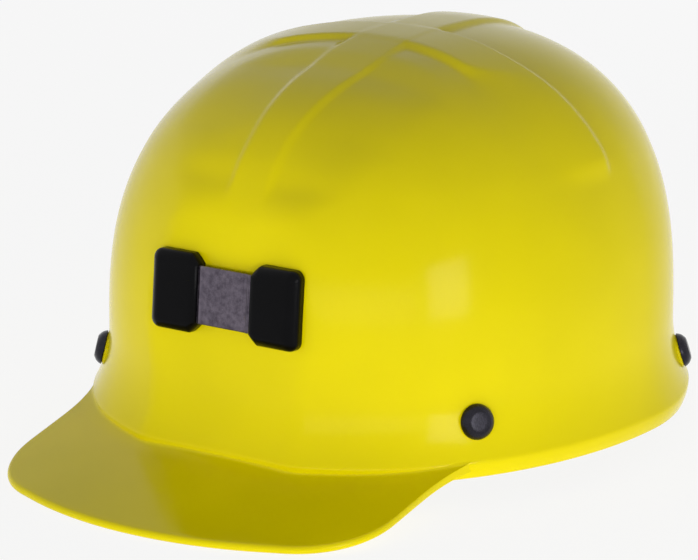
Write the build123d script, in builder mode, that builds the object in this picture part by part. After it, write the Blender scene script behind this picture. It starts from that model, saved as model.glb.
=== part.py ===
from build123d import *
import math
import os

os.makedirs("parts", exist_ok=True)

# Cap shell. Plan and heights are measured from the widest line of the dome and from its rim.
half_width = 102.2  # widest line to the outer wall, above the lip
front_reach = 126.3  # the round dome forward of the widest line, before the flat panel cuts it
rear_reach = 96.6
crown_height = 133.1  # rim to the top of the dome between the ridges
wall_height = 30.0  # the wall starts to curve in above this
wall = 2.6
lip_width = 6.3
lip_top = 6.0  # height of the lip's fullest line
lip_roll = 1.5  # how far the lip turns back in below that line
crown_back = 7.0  # the crown lies this far behind the widest line
front_plan_share = 1.98  # plan exponents: 2 is an ellipse
rear_plan_share = 1.85
side_curve_share = 2.66  # exponents of the section from rim to crown
front_curve_share = 2.9
rear_curve_share = 2.74
ring_points = 88
ring_crowding_share = 0.4  # the rings' points lie closer together in front
foot_level_shares = (0, 0.1, 0.2, 0.32, 0.46, 0.62, 0.8, 1)
crown_level_shares = (
    0.1, 0.17, 0.23, 0.28, 0.33, 0.37, 0.41, 0.45, 0.49, 0.54, 0.59, 0.64, 0.7, 0.76, 0.82, 0.88, 0.93, 0.97
)

# Four ridges that meet at the crown
ridge_height = 3.4
ridge_half_width = 13.0
ridge_round = 1.8
ridge_end = 92.0  # height above the rim where a ridge has run out
ridge_rise = 9.0
ridge_full = ridge_end + ridge_rise
ridge_line_y = 1.5  # the side ridges meet this far behind the widest line
ridge_sweep_share = 0.085  # the side ridges lie this far forward, per unit of width
hub_height = 2.4

# Front of the crown in section, seen from a point inside: angles up from straight ahead and distances
front_back = 60.0  # that point lies this far forward of the widest line
front_level = 60.0  # and this far above the rim
hollow_turns = (0, 12.3, 21.7, 30.8, 40.5, 52.7, 68.8, 84, 92, 100, 110, 118, 128, 140)  # degrees, hollows
hollow_reaches = (57.5, 57.0, 56.2, 56.1, 56.6, 55.2, 55.2, 61.2, 66.0, 70.8, 75.5, 82.5, 100.0, 120.0)
hollow_ease = 6.0
crest_turns = (18, 24, 28, 33, 36.5, 41, 45, 61, 81, 105.7, 111.5, 117.8, 123.3, 131.4)  # the front ridge
crest_reaches = (48.0, 53.0, 55.3, 58.0, 60.7, 64.4, 67.0, 67.6, 68.2, 78.0, 81.4, 85.6, 90.6, 100.6)
crest_round = 5.0
crest_ease = 6.0
flank_turns = (30, 45, 80, 100, 115)
flank_slope_shares = (1.05, 0.85, 0.62, 0.42, 0.36)
ridge_side_half = 30.0  # the front ridge's flanks fall away faster beyond this
crest_end_turn = 131.4
hollow_end_turn = 140.0

# Flat front panel with its coved foot
panel_reach = 117.2
panel_lean = 5.2
panel_half_width = 60.0

# Brim
brim_reach = 176.5
brim_thickness = 2.8
brim_root_top = 4.9  # its top above the rim, at the foot of the panel
brim_fall = 11.3
brim_crown_radius = 640.0
brim_side = 78.2
brim_front_length = 46.5
brim_side_length = 20.0
brim_side_front = brim_reach - brim_front_length
brim_side_rear = brim_side_front - brim_side_length
brim_corner_x = 53.0
brim_front_bow = 11.5
brim_corner_y = brim_reach - brim_front_bow
brim_corner_ease = 12.0
brim_edge_round = 1.2
lip_join_x = 93.0
lip_join_y = 62.0
brim_root_y = 50.0

# Cord clip on the back
clip_width = 22.0
clip_height = 24.0
clip_base = 2.6
clip_depth = 12.0
clip_loop_height = 11.0
clip_bar = 2.4
clip_level = 40.0
clip_corner = 2.4
clip_proud = 1.4  # its flat seat stands this far out of the round wall
clip_rivet_drop = 6.5
clip_rivet_radius = 2.0
clip_rivet_head_radius = 4.2
clip_rivet_head_height = 1.8

# Where the cap stands: origin under the middle of its box, at the brim's lowest point
cove_rise = wall_height - lip_top
widest_y = (brim_reach - rear_reach - clip_proud - clip_base - clip_depth) / 2

# Clearances and small sizes that several pieces share
gap = 0.3
thread_gap = 0.05
overrun = 20.0

# Shell rivets and the suspension hangers that they hold
rivet_head_radius = 6.4
rivet_head_height = 3.3
rivet_head_round = 1.1
rivet_radius = 2.4
rivet_clinch_radius = 4.2
rivet_clinch_height = 1.2
washer_radius = 5.6
washer_thickness = 0.9
seat_proud = 0.8  # clears the hollow of the flare under the head
inner_seat_proud = 1.2
front_rivet_level = 19.3
rear_rivet_level = 15.5
front_rivet_y = 79.5  # forward of the widest line
rear_rivet_y = 42.5  # behind it
hanger_width = 20.0
hanger_up = 12.0
hanger_down = 9.0
hanger_thickness = 2.0
hanger_corner = 2.5
tab_height = 13.0
tab_width = 13.0
seat_radius = 7.2
stud_radius = 1.9
stud_head_radius = 4.0
stud_head_height = 1.1

# Crown straps, woven webbing
strap_width = 19.0
strap_thickness = 1.6
strap_top = 97.0
strap_shoulder_level = 68.0
strap_bend = 38.0
strap_shoulder_in = 10.5
strap_slope_in = 42.0
strap_overlap = 5.0

# Headband, sweatband and nape parts
head_forward = 20.0  # middle of the head, forward of the widest line
band_side_gap = 25.4  # headband to the shell's wall at its widest
band_front_gap = 5.2  # and to the front panel
band_back_gap = 24.6  # and to the wall at the back
band_corner = 50.0
band_half_width = half_width - band_side_gap
band_front = panel_reach - head_forward - band_front_gap
band_side_length = rear_reach - band_back_gap - band_corner + head_forward
band_thickness = 1.8
band_low = 2.0
band_height = 31.0
sweat_thickness = 3.2
sweat_half_width = 50.0
sweat_margin = 2.5

# Ratchet at the nape
ratchet_level = 18.0
ratchet_half_width = 25.0
ratchet_half_height = 13.0
housing_floor = 1.4
housing_wall = 1.6
cover_thickness = 1.5
cover_corner = 3.0
screw_x = 21.0
screw_radius = 1.1
screw_depth = 3.2
screw_slot = 0.6
screw_head_radius = 2.1
screw_head_height = 1.1
module_size = 1.0
pinion_teeth = 10
pressure_angle = 20.0
tooth_slack = 0.12
tip_share = 0.9
root_share = 1.25
rack_tip_share = 0.55
rack_tip_half = 0.45
flank_shares = (0, 0.25, 0.5, 0.75, 1)
rack_teeth = 5
rack_thickness = 2.8
rack_body = 3.0
rack_tail = 17.0
rack_reach = 40.0
rack_travel = 6.0
peg_x = 37.0
peg_radius = 1.5
peg_length = 6.6
shaft_radius = 2.6
shaft_length = 5.5
shaft_gap = 0.06
pivot_radius = 1.5
knob_radius = 12.0
knob_height = 8.2
knob_edge = 0.8
knob_hub = 1.6
knob_recess_radius = 9.6
knob_recess = 2.2
knob_grips = 16
knob_grip_radius = 1.3
spring_radius = 7.6
spring_width = 0.8
spring_height = 1.5
spring_open = 70.0
nape_pad_thickness = 4.6
nape_pad_half_width = 23.0
nape_pad_height = 25.0
nape_pad_round = 2.0

# Lamp bracket: two moulded blocks with a steel plate between them
bracket_level = 59.5  # its middle above the rim
block_inner = 11.0
block_outer = 30.8
block_height = 28.5
block_depth = 5.8
block_corner = 3.4
block_bevel = 1.8
plate_height = 20.8
plate_thickness = 1.0
plate_tail = 8.0
pocket = 2.9
backing_half_width = 29.0
backing_height = 20.0
backing_thickness = 1.2
bracket_screw_x = 24.4
bracket_screw_y = 6.0
bracket_screw_slot = 0.9
bracket_screw_radius = 2.0
bracket_screw_depth = 3.6
bracket_screw_head_radius = 3.9
bracket_screw_head_height = 2.0


def signed_power(value, exponent):
    return math.copysign(abs(value) ** exponent, value)


def smooth_step(value, low, high):
    share = min(max((value - low) / (high - low), 0), 1)
    return share * share * (3 - 2 * share)


def flare(level):
    """Outward offset of the wall near its foot: a cove above the lip, a roll below it."""
    if level < lip_top:
        return lip_width - lip_roll * (1 - level / lip_top) ** 2
    return lip_width * max(0, 1 - (level - lip_top) / cove_rise) ** 2


def soft_max(first, second, ease):
    """The larger value, rounded over where the two differ by less than the ease."""
    near = max(ease - abs(first - second), 0) / ease
    return max(first, second) + near * near * ease / 4


def curve_value(at, knots, values):
    """Value at a place on the monotone cubic through the knots."""
    at = min(max(at, knots[0]), knots[-1])
    slopes = [(b - a) / (q - p) for a, b, p, q in zip(values, values[1:], knots, knots[1:])]
    tangents = [slopes[0]]
    for before, after in zip(slopes, slopes[1:]):
        turns_back = before * after <= 0
        tangents.append(0 if turns_back else 2 * before * after / (before + after))
    tangents.append(slopes[-1])
    cell = 0
    while cell < len(slopes) - 1 and at > knots[cell + 1]:
        cell += 1
    step = knots[cell + 1] - knots[cell]
    share = (at - knots[cell]) / step
    rest = 1 - share
    start = values[cell] * (1 + 2 * share) + tangents[cell] * step * share
    end = values[cell + 1] * (3 - 2 * share) - tangents[cell + 1] * step * rest
    return start * rest * rest + end * share * share


def ridge_lift(x, y, level):
    """Height of the side and rear ridges over the dome at a point of the plan."""
    side_line = ridge_line_y - ridge_sweep_share * abs(x)
    lift = 0
    rear = smooth_step(y, -front_back / 5, crown_back)
    for distance, full in ((abs(x), rear), (abs(y - side_line), 1)):
        crest = math.hypot(distance, ridge_round) - ridge_round
        lift = max(lift, full * (1 - min(1, crest / ridge_half_width)))
    return ridge_height * lift * smooth_step(level, ridge_end, ridge_full)


def front_shift(x, y, level, inset):
    """How far a point of the crown's front moves forward, up and out, to the hollows and the ridge."""
    forward = -front_back - y
    up = level - front_level
    reach = math.hypot(forward, up)
    turn = math.degrees(math.atan2(up, forward))
    if up < 0 or turn > hollow_end_turn:
        return 0, 0, 0
    limit = curve_value(turn, hollow_turns, hollow_reaches) - inset
    cut = -soft_max(-reach, -limit, hollow_ease)
    slope = curve_value(turn, flank_turns, flank_slope_shares)
    fall = slope * (math.hypot(x, crest_round) - crest_round) + max(0, abs(x) - ridge_side_half)
    crest = curve_value(turn, crest_turns, crest_reaches) - inset - fall
    final = soft_max(cut, crest, crest_ease) if turn < crest_end_turn and reach > ridge_side_half else cut
    final = reach + (final - reach) * smooth_step(up, 0, hollow_ease)
    return (final / reach - 1) * forward, (final / reach - 1) * up, max(final - reach, 0)


def plan_point(angle, inset):
    """Point and outward normal of the wall's plan: a superellipse, drawn in by the inset."""
    reach = front_reach if math.sin(angle) < 0 else rear_reach
    plan = front_plan_share if math.sin(angle) < 0 else rear_plan_share
    x = (half_width - inset) * signed_power(math.cos(angle), 2 / plan)
    y = (reach - inset) * signed_power(math.sin(angle), 2 / plan)
    across = signed_power(math.cos(angle), 2 - 2 / plan) / half_width
    along = signed_power(math.sin(angle), 2 - 2 / plan) / reach
    size = math.hypot(across, along)
    return x, y, across / size, along / size


def ring_angle(step):
    even = 2 * math.pi * step / ring_points
    return even - ring_crowding_share * math.cos(even)


def foot_ring(level, inset):
    """Level ring of the upright wall, with its flare."""
    points = []
    for step in range(ring_points):
        x, y, across, along = plan_point(ring_angle(step), inset)
        out = flare(level)
        points.append(Vector(x + out * across, widest_y + y + out * along, rim_z + level))
    return points


def crown_ring(share, inset):
    """Ring of the curved crown, at a share of the way from wall to top, with its ridges."""
    turn = share * math.pi / 2
    points = []
    for step in range(ring_points):
        angle = ring_angle(step)
        end_curve_share = front_curve_share if math.sin(angle) < 0 else rear_curve_share
        curve = side_curve_share + (end_curve_share - side_curve_share) * math.sin(angle) ** 2
        rise = math.sin(turn) ** (2 / curve)
        shrink = math.cos(turn) ** (2 / curve)
        x, y = plan_point(angle, inset)[:2]
        x = x * shrink
        y = y * shrink + crown_back * rise * rise
        level = wall_height + (crown_height - inset - wall_height) * rise
        normal = Vector(
            x / half_width**2,
            y / front_reach**2,
            (level - wall_height) / (crown_height - wall_height) ** 2,
        )
        forward, up, out = front_shift(x, y, level, inset)
        lift = normal.normalized() * max(ridge_lift(x, y, level) - out, 0) + Vector(0, -forward, up)
        if share == crown_level_shares[-1]:
            lift = Vector(0, 0, hub_height)
            level = wall_height + (crown_height - inset - wall_height) * math.sin(turn)
        points.append(Vector(x, widest_y + y, rim_z + level) + lift)
    return points


def dome(inset):
    """Closed dome through its rings, drawn in by the inset."""
    ring_knots = [step / ring_points for step in range(ring_points + 1)]
    rings = []
    for share in foot_level_shares:
        rings.append(foot_ring(share * wall_height, inset))
    rings += [crown_ring(share, inset) for share in crown_level_shares]
    wires = [Wire(Edge.make_spline(ring, periodic=True, parameters=ring_knots)) for ring in rings]
    return Solid.make_loft(wires)


def brim_top(x, y):
    """Height over the rim of the brim's upper face, which falls forward and to each side."""
    sag = brim_crown_radius - math.sqrt(brim_crown_radius**2 - x * x)
    return brim_root_top - (y - panel_reach) * math.tan(math.radians(brim_fall)) - sag


# The lowest point of the brim's edge is on its front curve, and the rim is that far up
front_radius = (brim_corner_x**2 + (brim_reach - brim_corner_y) ** 2) / (2 * (brim_reach - brim_corner_y))
brim_low = brim_root_top
for step in range(ring_points):
    edge_x = brim_corner_x * step / ring_points
    edge_y = brim_reach - front_radius + math.sqrt(front_radius**2 - edge_x**2)
    brim_low = min(brim_low, brim_top(edge_x, edge_y) - brim_thickness)
rim_z = -brim_low


# Front cutter: the panel's face and its coved foot, as one profile across the cap
def panel_cutter(inset):
    """Solid in front of the panel, whose face is drawn in by the inset."""
    slope = math.radians(panel_lean)
    face = widest_y - panel_reach + inset / math.cos(slope) - inset * math.tan(slope)
    foot = widest_y - panel_reach - lip_width + inset
    cove_z = rim_z + wall_height - inset
    high = crown_height + overrun
    lean = high * math.tan(slope)
    with BuildPart() as cutter:
        with BuildSketch(Plane.YZ.offset(-panel_half_width)):
            with BuildLine():
                Polyline(
                    (foot, rim_z - overrun),
                    (foot - brim_reach, rim_z - overrun),
                    (foot - brim_reach, cove_z + high),
                    (face + lean, cove_z + high),
                    (face, cove_z),
                )
                ThreePointArc(
                    (face, cove_z),
                    (face + (foot - face) / 4, rim_z + lip_top + cove_rise / 2 - inset),
                    (foot, rim_z + lip_top - inset),
                )
                Line((foot, rim_z + lip_top - inset), (foot, rim_z - overrun))
            make_face()
        extrude(amount=2 * panel_half_width)
    return cutter.part


# Brim: an arched band that falls forward, trimmed to its plan
fall_dir = Vector(0, -math.cos(math.radians(brim_fall)), -math.sin(math.radians(brim_fall)))
start_z = rim_z + brim_top(0, brim_root_y)
arch_half = brim_side + overrun
arch_sag = brim_crown_radius - math.sqrt(brim_crown_radius**2 - arch_half**2)
with BuildPart() as brim:
    with BuildSketch(Plane((0, widest_y - brim_root_y, start_z), x_dir=(1, 0, 0), z_dir=fall_dir)):
        with BuildLine():
            upper = ThreePointArc((-arch_half, -arch_sag), (0, 0), (arch_half, -arch_sag))
            lower = ThreePointArc(
                (-arch_half, -arch_sag - brim_thickness),
                (0, -brim_thickness),
                (arch_half, -arch_sag - brim_thickness),
            )
            Line(upper @ 0, lower @ 0)
            Line(upper @ 1, lower @ 1)
        make_face()
    extrude(amount=brim_reach - brim_root_y + overrun)
    with BuildSketch(Plane.XY.offset(-overrun)):
        with BuildLine():
            ThreePointArc(
                (-brim_corner_x, widest_y - brim_corner_y),
                (0, widest_y - brim_reach),
                (brim_corner_x, widest_y - brim_corner_y),
            )
            corner = TangentArc(
                (brim_side, widest_y - brim_side_front),
                (brim_corner_x, widest_y - brim_corner_y),
                tangent=(0, -1),
            )
            side = Line(corner @ 0, (brim_side, widest_y - brim_side_rear))
            hollow = TangentArc(side @ 1, (lip_join_x, widest_y - lip_join_y), tangent=(0, 1))
            root = Line(hollow @ 1, (lip_join_x - lip_width, widest_y - brim_root_y))
            for edge in (corner, side, hollow, root):
                mirror(edge, about=Plane.YZ)
            Line(root @ 1, (-lip_join_x + lip_width, widest_y - brim_root_y))
        make_face()
    extrude(amount=rim_z + 2 * overrun, mode=Mode.INTERSECT)
    uprights = brim.edges().filter_by(lambda edge: edge.length < 2 * brim_thickness)
    fillet(uprights.filter_by(lambda edge: edge.center().Y < widest_y - brim_side_front), brim_corner_ease)
    free_edges = brim.edges().filter_by(lambda edge: edge.center().Y < widest_y - lip_join_y)
    fillet(free_edges.filter_by(lambda edge: edge.length > 2 * brim_thickness), brim_edge_round)


def wall_plane(y, level, side):
    """Plane on the outer wall, at y from the widest line, facing out; side is 1 or -1."""
    reach = front_reach if y < 0 else rear_reach
    plan = front_plan_share if y < 0 else rear_plan_share
    angle = math.copysign(math.asin((abs(y) / reach) ** (plan / 2)), y)
    x, y, across, along = plan_point(angle, 0)
    out = flare(level)
    slope = 2 * lip_width * max(0, 1 - (level - lip_top) / cove_rise) / cove_rise
    outward = Vector(side * across, along, slope).normalized()
    origin = (side * (x + out * across), widest_y + y + out * along, rim_z + level)
    return Plane(origin, x_dir=(-along, side * across, 0), z_dir=outward)


rivet_planes = {
    "front_left": wall_plane(-front_rivet_y, front_rivet_level, 1),
    "front_right": wall_plane(-front_rivet_y, front_rivet_level, -1),
    "rear_left": wall_plane(rear_rivet_y, rear_rivet_level, 1),
    "rear_right": wall_plane(rear_rivet_y, rear_rivet_level, -1),
}
hanger_face = -wall - inner_seat_proud
washer_face = hanger_face - hanger_thickness
clinch_face = washer_face - washer_thickness

# Planes of the flat panel and of the cord clip's seat
lean_rise = bracket_level - wall_height
panel_plane = Plane(
    (0, widest_y - panel_reach + lean_rise * math.tan(math.radians(panel_lean)), rim_z + bracket_level),
    x_dir=(1, 0, 0),
    z_dir=(0, -math.cos(math.radians(panel_lean)), math.sin(math.radians(panel_lean))),
)
clip_plane = Plane(
    (0, widest_y + rear_reach + clip_proud, rim_z + clip_level),
    x_dir=(-1, 0, 0),
    z_dir=(0, 1, 0),
)
bracket_screw_spots = [
    (side * bracket_screw_x, row * bracket_screw_y) for side in (-1, 1) for row in (-1, 1)
]

# Shell: the dome cut flat in front, with the brim, less its cavity, then its seats and holes
with BuildPart() as cavity:
    add(dome(wall))
    extrude(cavity.faces().sort_by(Axis.Z)[0], amount=overrun)
    add(panel_cutter(wall), mode=Mode.SUBTRACT)
with BuildPart() as shell:
    add(dome(0))
    add(panel_cutter(0), mode=Mode.SUBTRACT)
    add(brim.part)
    add(cavity.part, mode=Mode.SUBTRACT)
    with BuildSketch(*[plane.offset(hanger_face) for plane in rivet_planes.values()]):
        Circle(seat_radius)
    extrude(amount=wall / 2 + inner_seat_proud)
    with BuildSketch(*[plane.offset(-wall / 2) for plane in rivet_planes.values()]):
        Circle(rivet_head_radius - gap)
    extrude(amount=wall / 2 + seat_proud)
    with BuildSketch(*[plane.offset(seat_proud) for plane in rivet_planes.values()]):
        Circle(rivet_radius + thread_gap)
    extrude(amount=2 * hanger_face, mode=Mode.SUBTRACT)
    with BuildSketch(clip_plane.offset(-clip_proud - wall / 2)):
        RectangleRounded(clip_width, clip_height, clip_corner)
    extrude(amount=clip_proud + wall / 2)
    with BuildSketch(clip_plane):
        with Locations((0, -clip_rivet_drop)):
            Circle(clip_rivet_radius + thread_gap)
    extrude(amount=-3 * wall, mode=Mode.SUBTRACT)
    with BuildSketch(panel_plane.offset(wall)):
        with Locations(bracket_screw_spots):
            Circle(bracket_screw_radius + thread_gap)
    extrude(amount=-3 * wall, mode=Mode.SUBTRACT)
shell.part.label = "shell"
export_step(shell.part, "parts/shell.step")

# Lamp bracket blocks, bevelled on their three outer sides and slotted for the plate
for side, name in ((1, "lamp_block_left"), (-1, "lamp_block_right")):
    block_middle = side * (block_inner + block_outer) / 2
    with BuildPart() as block:
        with BuildSketch(panel_plane):
            with Locations((block_middle, 0)):
                Rectangle(block_outer - block_inner, block_height)
        extrude(amount=block_depth)
        outer_face = block.faces().sort_by(Axis.X)[-1 if side > 0 else 0]
        fillet(outer_face.edges().filter_by(lambda edge: abs(edge.tangent_at(0).X) < 0.5).filter_by(
            lambda edge: abs(edge.tangent_at(0).dot(panel_plane.z_dir)) > 0.5), block_corner)
        front_face = block.faces().sort_by(Axis(panel_plane.origin, panel_plane.z_dir))[-1]
        inner_x = side * block_inner
        chamfer(front_face.edges().filter_by(lambda edge: abs(edge.center().X - inner_x) > gap), block_bevel)
        with BuildSketch(panel_plane.offset(pocket - gap)):
            with Locations((side * (block_inner + plate_tail / 2), 0)):
                Rectangle(plate_tail + 2 * gap, plate_height + 2 * gap)
        extrude(amount=plate_thickness + 2 * gap, mode=Mode.SUBTRACT)
        with BuildSketch(panel_plane):
            with Locations([spot for spot in bracket_screw_spots if spot[0] * side > 0]):
                Circle(bracket_screw_radius + thread_gap)
        extrude(amount=bracket_screw_depth + gap, mode=Mode.SUBTRACT)
    block.part.label = name
    export_step(block.part, f"parts/{name}.step")

with BuildPart() as lamp_plate:
    with BuildSketch(panel_plane.offset(pocket)):
        Rectangle(2 * (block_inner + plate_tail - gap), plate_height)
    extrude(amount=plate_thickness)
lamp_plate.part.label = "lamp_plate"
export_step(lamp_plate.part, "parts/lamp_plate.step")

with BuildPart() as bracket_backing_plate:
    with BuildSketch(panel_plane.offset(-wall)):
        RectangleRounded(2 * backing_half_width, backing_height, block_corner)
        with Locations(bracket_screw_spots):
            Circle(bracket_screw_radius + thread_gap, mode=Mode.SUBTRACT)
    extrude(amount=-backing_thickness)
bracket_backing_plate.part.label = "bracket_backing_plate"
export_step(bracket_backing_plate.part, "parts/bracket_backing_plate.step")

# Bracket screws: pan heads inside the cap, with a driver slot
with BuildPart() as bracket_screws:
    with BuildSketch(panel_plane.offset(-wall - backing_thickness - bracket_screw_head_height)):
        with Locations(bracket_screw_spots):
            Circle(bracket_screw_head_radius)
    extrude(amount=bracket_screw_head_height)
    with BuildSketch(panel_plane.offset(-wall - backing_thickness)):
        with Locations(bracket_screw_spots):
            Circle(bracket_screw_radius)
    extrude(amount=wall + backing_thickness + bracket_screw_depth)
    with BuildSketch(panel_plane.offset(-wall - backing_thickness - bracket_screw_head_height)):
        with Locations(bracket_screw_spots):
            Rectangle(2 * bracket_screw_head_radius, bracket_screw_slot)
    extrude(amount=bracket_screw_head_height / 2, mode=Mode.SUBTRACT)
bracket_screws.part.label = "bracket_screws"
export_step(bracket_screws.part, "parts/bracket_screws.step")


def band_face(inset):
    """Filled outline of the headband: an ellipse in front, round corners behind."""
    half = band_half_width - inset
    corner = band_corner - inset
    middle = widest_y - head_forward
    back = middle + band_side_length
    with BuildSketch() as face:
        with BuildLine():
            EllipticalCenterArc((0, middle), half, band_front - inset, start_angle=180, arc_size=180)
            Line((half, middle), (half, back))
            RadiusArc((half, back), (half - corner, back + corner), -corner)
            Line((half - corner, back + corner), (corner - half, back + corner))
            RadiusArc((corner - half, back + corner), (-half, back), -corner)
            Line((-half, back), (-half, middle))
        make_face()
    return face.sketch


def band_distance(origin, inward, inset):
    """How far the headband's face, drawn in by the inset, lies along a level direction."""
    middle = widest_y - head_forward
    corner = band_corner - inset
    near = 0
    far = half_width
    for _ in range(ring_points):
        trial = (near + far) / 2
        x = abs(origin.X + trial * inward.X)
        y = origin.Y + trial * inward.Y - middle
        if y < 0:
            within = math.hypot(x / (band_half_width - inset), y / (band_front - inset)) < 1
        else:
            over_x = max(0, x - band_half_width + band_corner)
            over_y = max(0, y - band_side_length)
            within = math.hypot(over_x, over_y) < corner
        if within:
            far = trial
        else:
            near = trial
    return near


band_back_y = widest_y - head_forward + band_side_length + band_corner


# Rivets, washers, hangers and the studs that hold the headband
def make_rivet(name, plane):
    """Domed head outside, shank through shell and hanger, clinched head inside."""
    with BuildPart() as rivet:
        with BuildSketch(plane.offset(seat_proud)):
            Circle(rivet_head_radius)
        extrude(amount=rivet_head_height)
        out = Axis(plane.origin, plane.z_dir)
        fillet(rivet.edges().sort_by(out)[-1], rivet_head_round)
        with BuildSketch(plane.offset(clinch_face)):
            Circle(rivet_radius)
        extrude(amount=seat_proud - clinch_face)
        with BuildSketch(plane.offset(clinch_face - rivet_clinch_height)):
            Circle(rivet_clinch_radius)
        extrude(amount=rivet_clinch_height)
    rivet.part.label = name
    export_step(rivet.part, f"parts/{name}.step")


def make_hanger(name, plane):
    """Plate behind the shell, arm in to the headband and tab that the stud goes through."""
    seat = plane.offset(hanger_face)
    level_in = Vector(-plane.z_dir.X, -plane.z_dir.Y, 0).normalized()
    across = Vector(0, 0, 1).cross(level_in)
    foot = seat.origin - plane.y_dir * hanger_down
    corners = [foot + across * (tab_width / 2), foot - across * (tab_width / 2)]
    reach = min(band_distance(corner, level_in, 0) for corner in corners) - gap
    with BuildPart() as hanger:
        with BuildSketch(seat):
            with Locations((0, (hanger_up - hanger_down) / 2)):
                RectangleRounded(hanger_width, hanger_up + hanger_down, hanger_corner)
        extrude(amount=-hanger_thickness)
        with BuildSketch(Plane(foot, x_dir=level_in, z_dir=-across).offset(-tab_width / 2)):
            with BuildLine():
                Polyline(
                    (0, 0),
                    (reach, 0),
                    (reach, tab_height),
                    (reach - hanger_thickness, tab_height),
                    (reach - hanger_thickness, hanger_thickness),
                    (hanger_thickness / 2, hanger_thickness),
                    (0, 0),
                )
            make_face()
        extrude(amount=tab_width)
        with BuildSketch(plane.offset(hanger_face + gap)):
            Circle(rivet_radius + thread_gap)
        extrude(amount=-hanger_thickness - 2 * gap, mode=Mode.SUBTRACT)
        stud_plane = Plane(
            foot + level_in * reach + Vector(0, 0, (tab_height + hanger_thickness) / 2),
            x_dir=across,
            z_dir=level_in,
        )
        with BuildSketch(stud_plane):
            Circle(stud_radius + thread_gap)
        extrude(amount=-2 * hanger_thickness, mode=Mode.SUBTRACT)
    hanger.part.label = name
    export_step(hanger.part, f"parts/{name}.step")
    return stud_plane


def make_stud(plane):
    """Headed stud through the hanger's tab and the headband."""
    rims = [plane.origin + plane.x_dir * (side * stud_head_radius) for side in (1, -1)]
    inner_head = max(band_distance(rim, plane.z_dir, band_thickness) for rim in rims) + gap
    with BuildPart() as stud:
        with BuildSketch(plane.offset(-hanger_thickness - stud_head_height)):
            Circle(stud_head_radius)
        extrude(amount=stud_head_height)
        with BuildSketch(plane.offset(-hanger_thickness)):
            Circle(stud_radius)
        extrude(amount=hanger_thickness + inner_head)
        with BuildSketch(plane.offset(inner_head)):
            Circle(stud_head_radius)
        extrude(amount=stud_head_height)
    return stud.part


stud_planes = []
for place, plane in rivet_planes.items():
    make_rivet(f"rivet_{place}", plane)
    stud_planes.append(make_hanger(f"hanger_{place}", plane))

with BuildPart() as rivet_washers:
    for plane in rivet_planes.values():
        with BuildSketch(plane.offset(clinch_face)):
            Circle(washer_radius)
            Circle(rivet_radius + thread_gap, mode=Mode.SUBTRACT)
        extrude(amount=washer_thickness)
rivet_washers.part.label = "rivet_washers"
export_step(rivet_washers.part, "parts/rivet_washers.step")

with BuildPart() as headband_studs:
    for plane in stud_planes:
        add(make_stud(plane))
headband_studs.part.label = "headband_studs"
export_step(headband_studs.part, "parts/headband_studs.step")


# Crown straps: webbing from a front hanger over the head to the opposite rear hanger
def make_strap(name, front_plane, rear_plane, lift):
    """Strap in the upright plane through its two feet; the lift keeps the two apart."""
    diagonal = rear_plane.origin - front_plane.origin
    diagonal = Vector(diagonal.X, diagonal.Y, 0).normalized()
    feet = []
    for plane, toward in ((front_plane, diagonal), (rear_plane, -diagonal)):
        level_in = Vector(-plane.z_dir.X, -plane.z_dir.Y, 0).normalized()
        turned = level_in.cross(toward).length
        depth = washer_face - gap - strap_thickness / 2 - turned * strap_width / 2
        feet.append(plane.origin + plane.z_dir * depth + plane.y_dir * hanger_up)
    front_foot, rear_foot = feet
    along = rear_foot - front_foot
    along = Vector(along.X, along.Y, 0)
    length = along.length
    side_plane = Plane(
        Vector(front_foot.X, front_foot.Y, 0),
        x_dir=along,
        z_dir=along.cross(Vector(0, 0, 1)),
    )
    shoulder = rim_z + strap_shoulder_level
    top = rim_z + strap_top + lift
    run = []
    for foot in feet:
        lean = strap_shoulder_in / (shoulder - foot.Z)
        run.append((-strap_overlap * lean, foot.Z - strap_overlap))
    with BuildPart() as strap:
        with BuildSketch(side_plane.offset(-strap_width / 2)):
            with BuildLine():
                FilletPolyline(
                    run[0],
                    (strap_shoulder_in, shoulder),
                    (strap_slope_in, top),
                    (length - strap_slope_in, top),
                    (length - strap_shoulder_in, shoulder),
                    (length - run[1][0], run[1][1]),
                    radius=strap_bend,
                )
            trace(line_width=strap_thickness)
        extrude(amount=strap_width)
    strap.part.label = name
    export_step(strap.part, f"parts/{name}.step")


make_strap("crown_strap_lower", rivet_planes["front_left"], rivet_planes["rear_right"], 0)
make_strap(
    "crown_strap_upper",
    rivet_planes["front_right"],
    rivet_planes["rear_left"],
    strap_thickness + gap,
)

# Headband: open at the nape, with a slot for each rack's peg
ratchet_z = rim_z + ratchet_level
rack_low = pinion_teeth * module_size / 2 + root_share * module_size
rack_middle = rack_low + rack_body / 2
band_gap = ratchet_half_width + housing_wall
with BuildPart() as headband:
    with BuildSketch(Plane.XY.offset(rim_z + band_low)):
        add(band_face(0))
        add(band_face(band_thickness), mode=Mode.SUBTRACT)
        with Locations((0, band_back_y)):
            Rectangle(2 * band_gap, 2 * band_corner, mode=Mode.SUBTRACT)
    extrude(amount=band_height)
    for side in (1, -1):
        with BuildSketch(Plane.XZ.offset(-band_back_y)):
            with Locations((side * peg_x, ratchet_z + side * rack_middle)):
                SlotOverall(2 * (rack_travel + peg_radius + gap), 2 * (peg_radius + gap))
        extrude(amount=2 * peg_length, mode=Mode.SUBTRACT)
    for plane in stud_planes:
        with BuildSketch(plane):
            Circle(stud_radius + thread_gap)
        extrude(amount=overrun, mode=Mode.SUBTRACT)
headband.part.label = "headband"
export_step(headband.part, "parts/headband.step")

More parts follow.
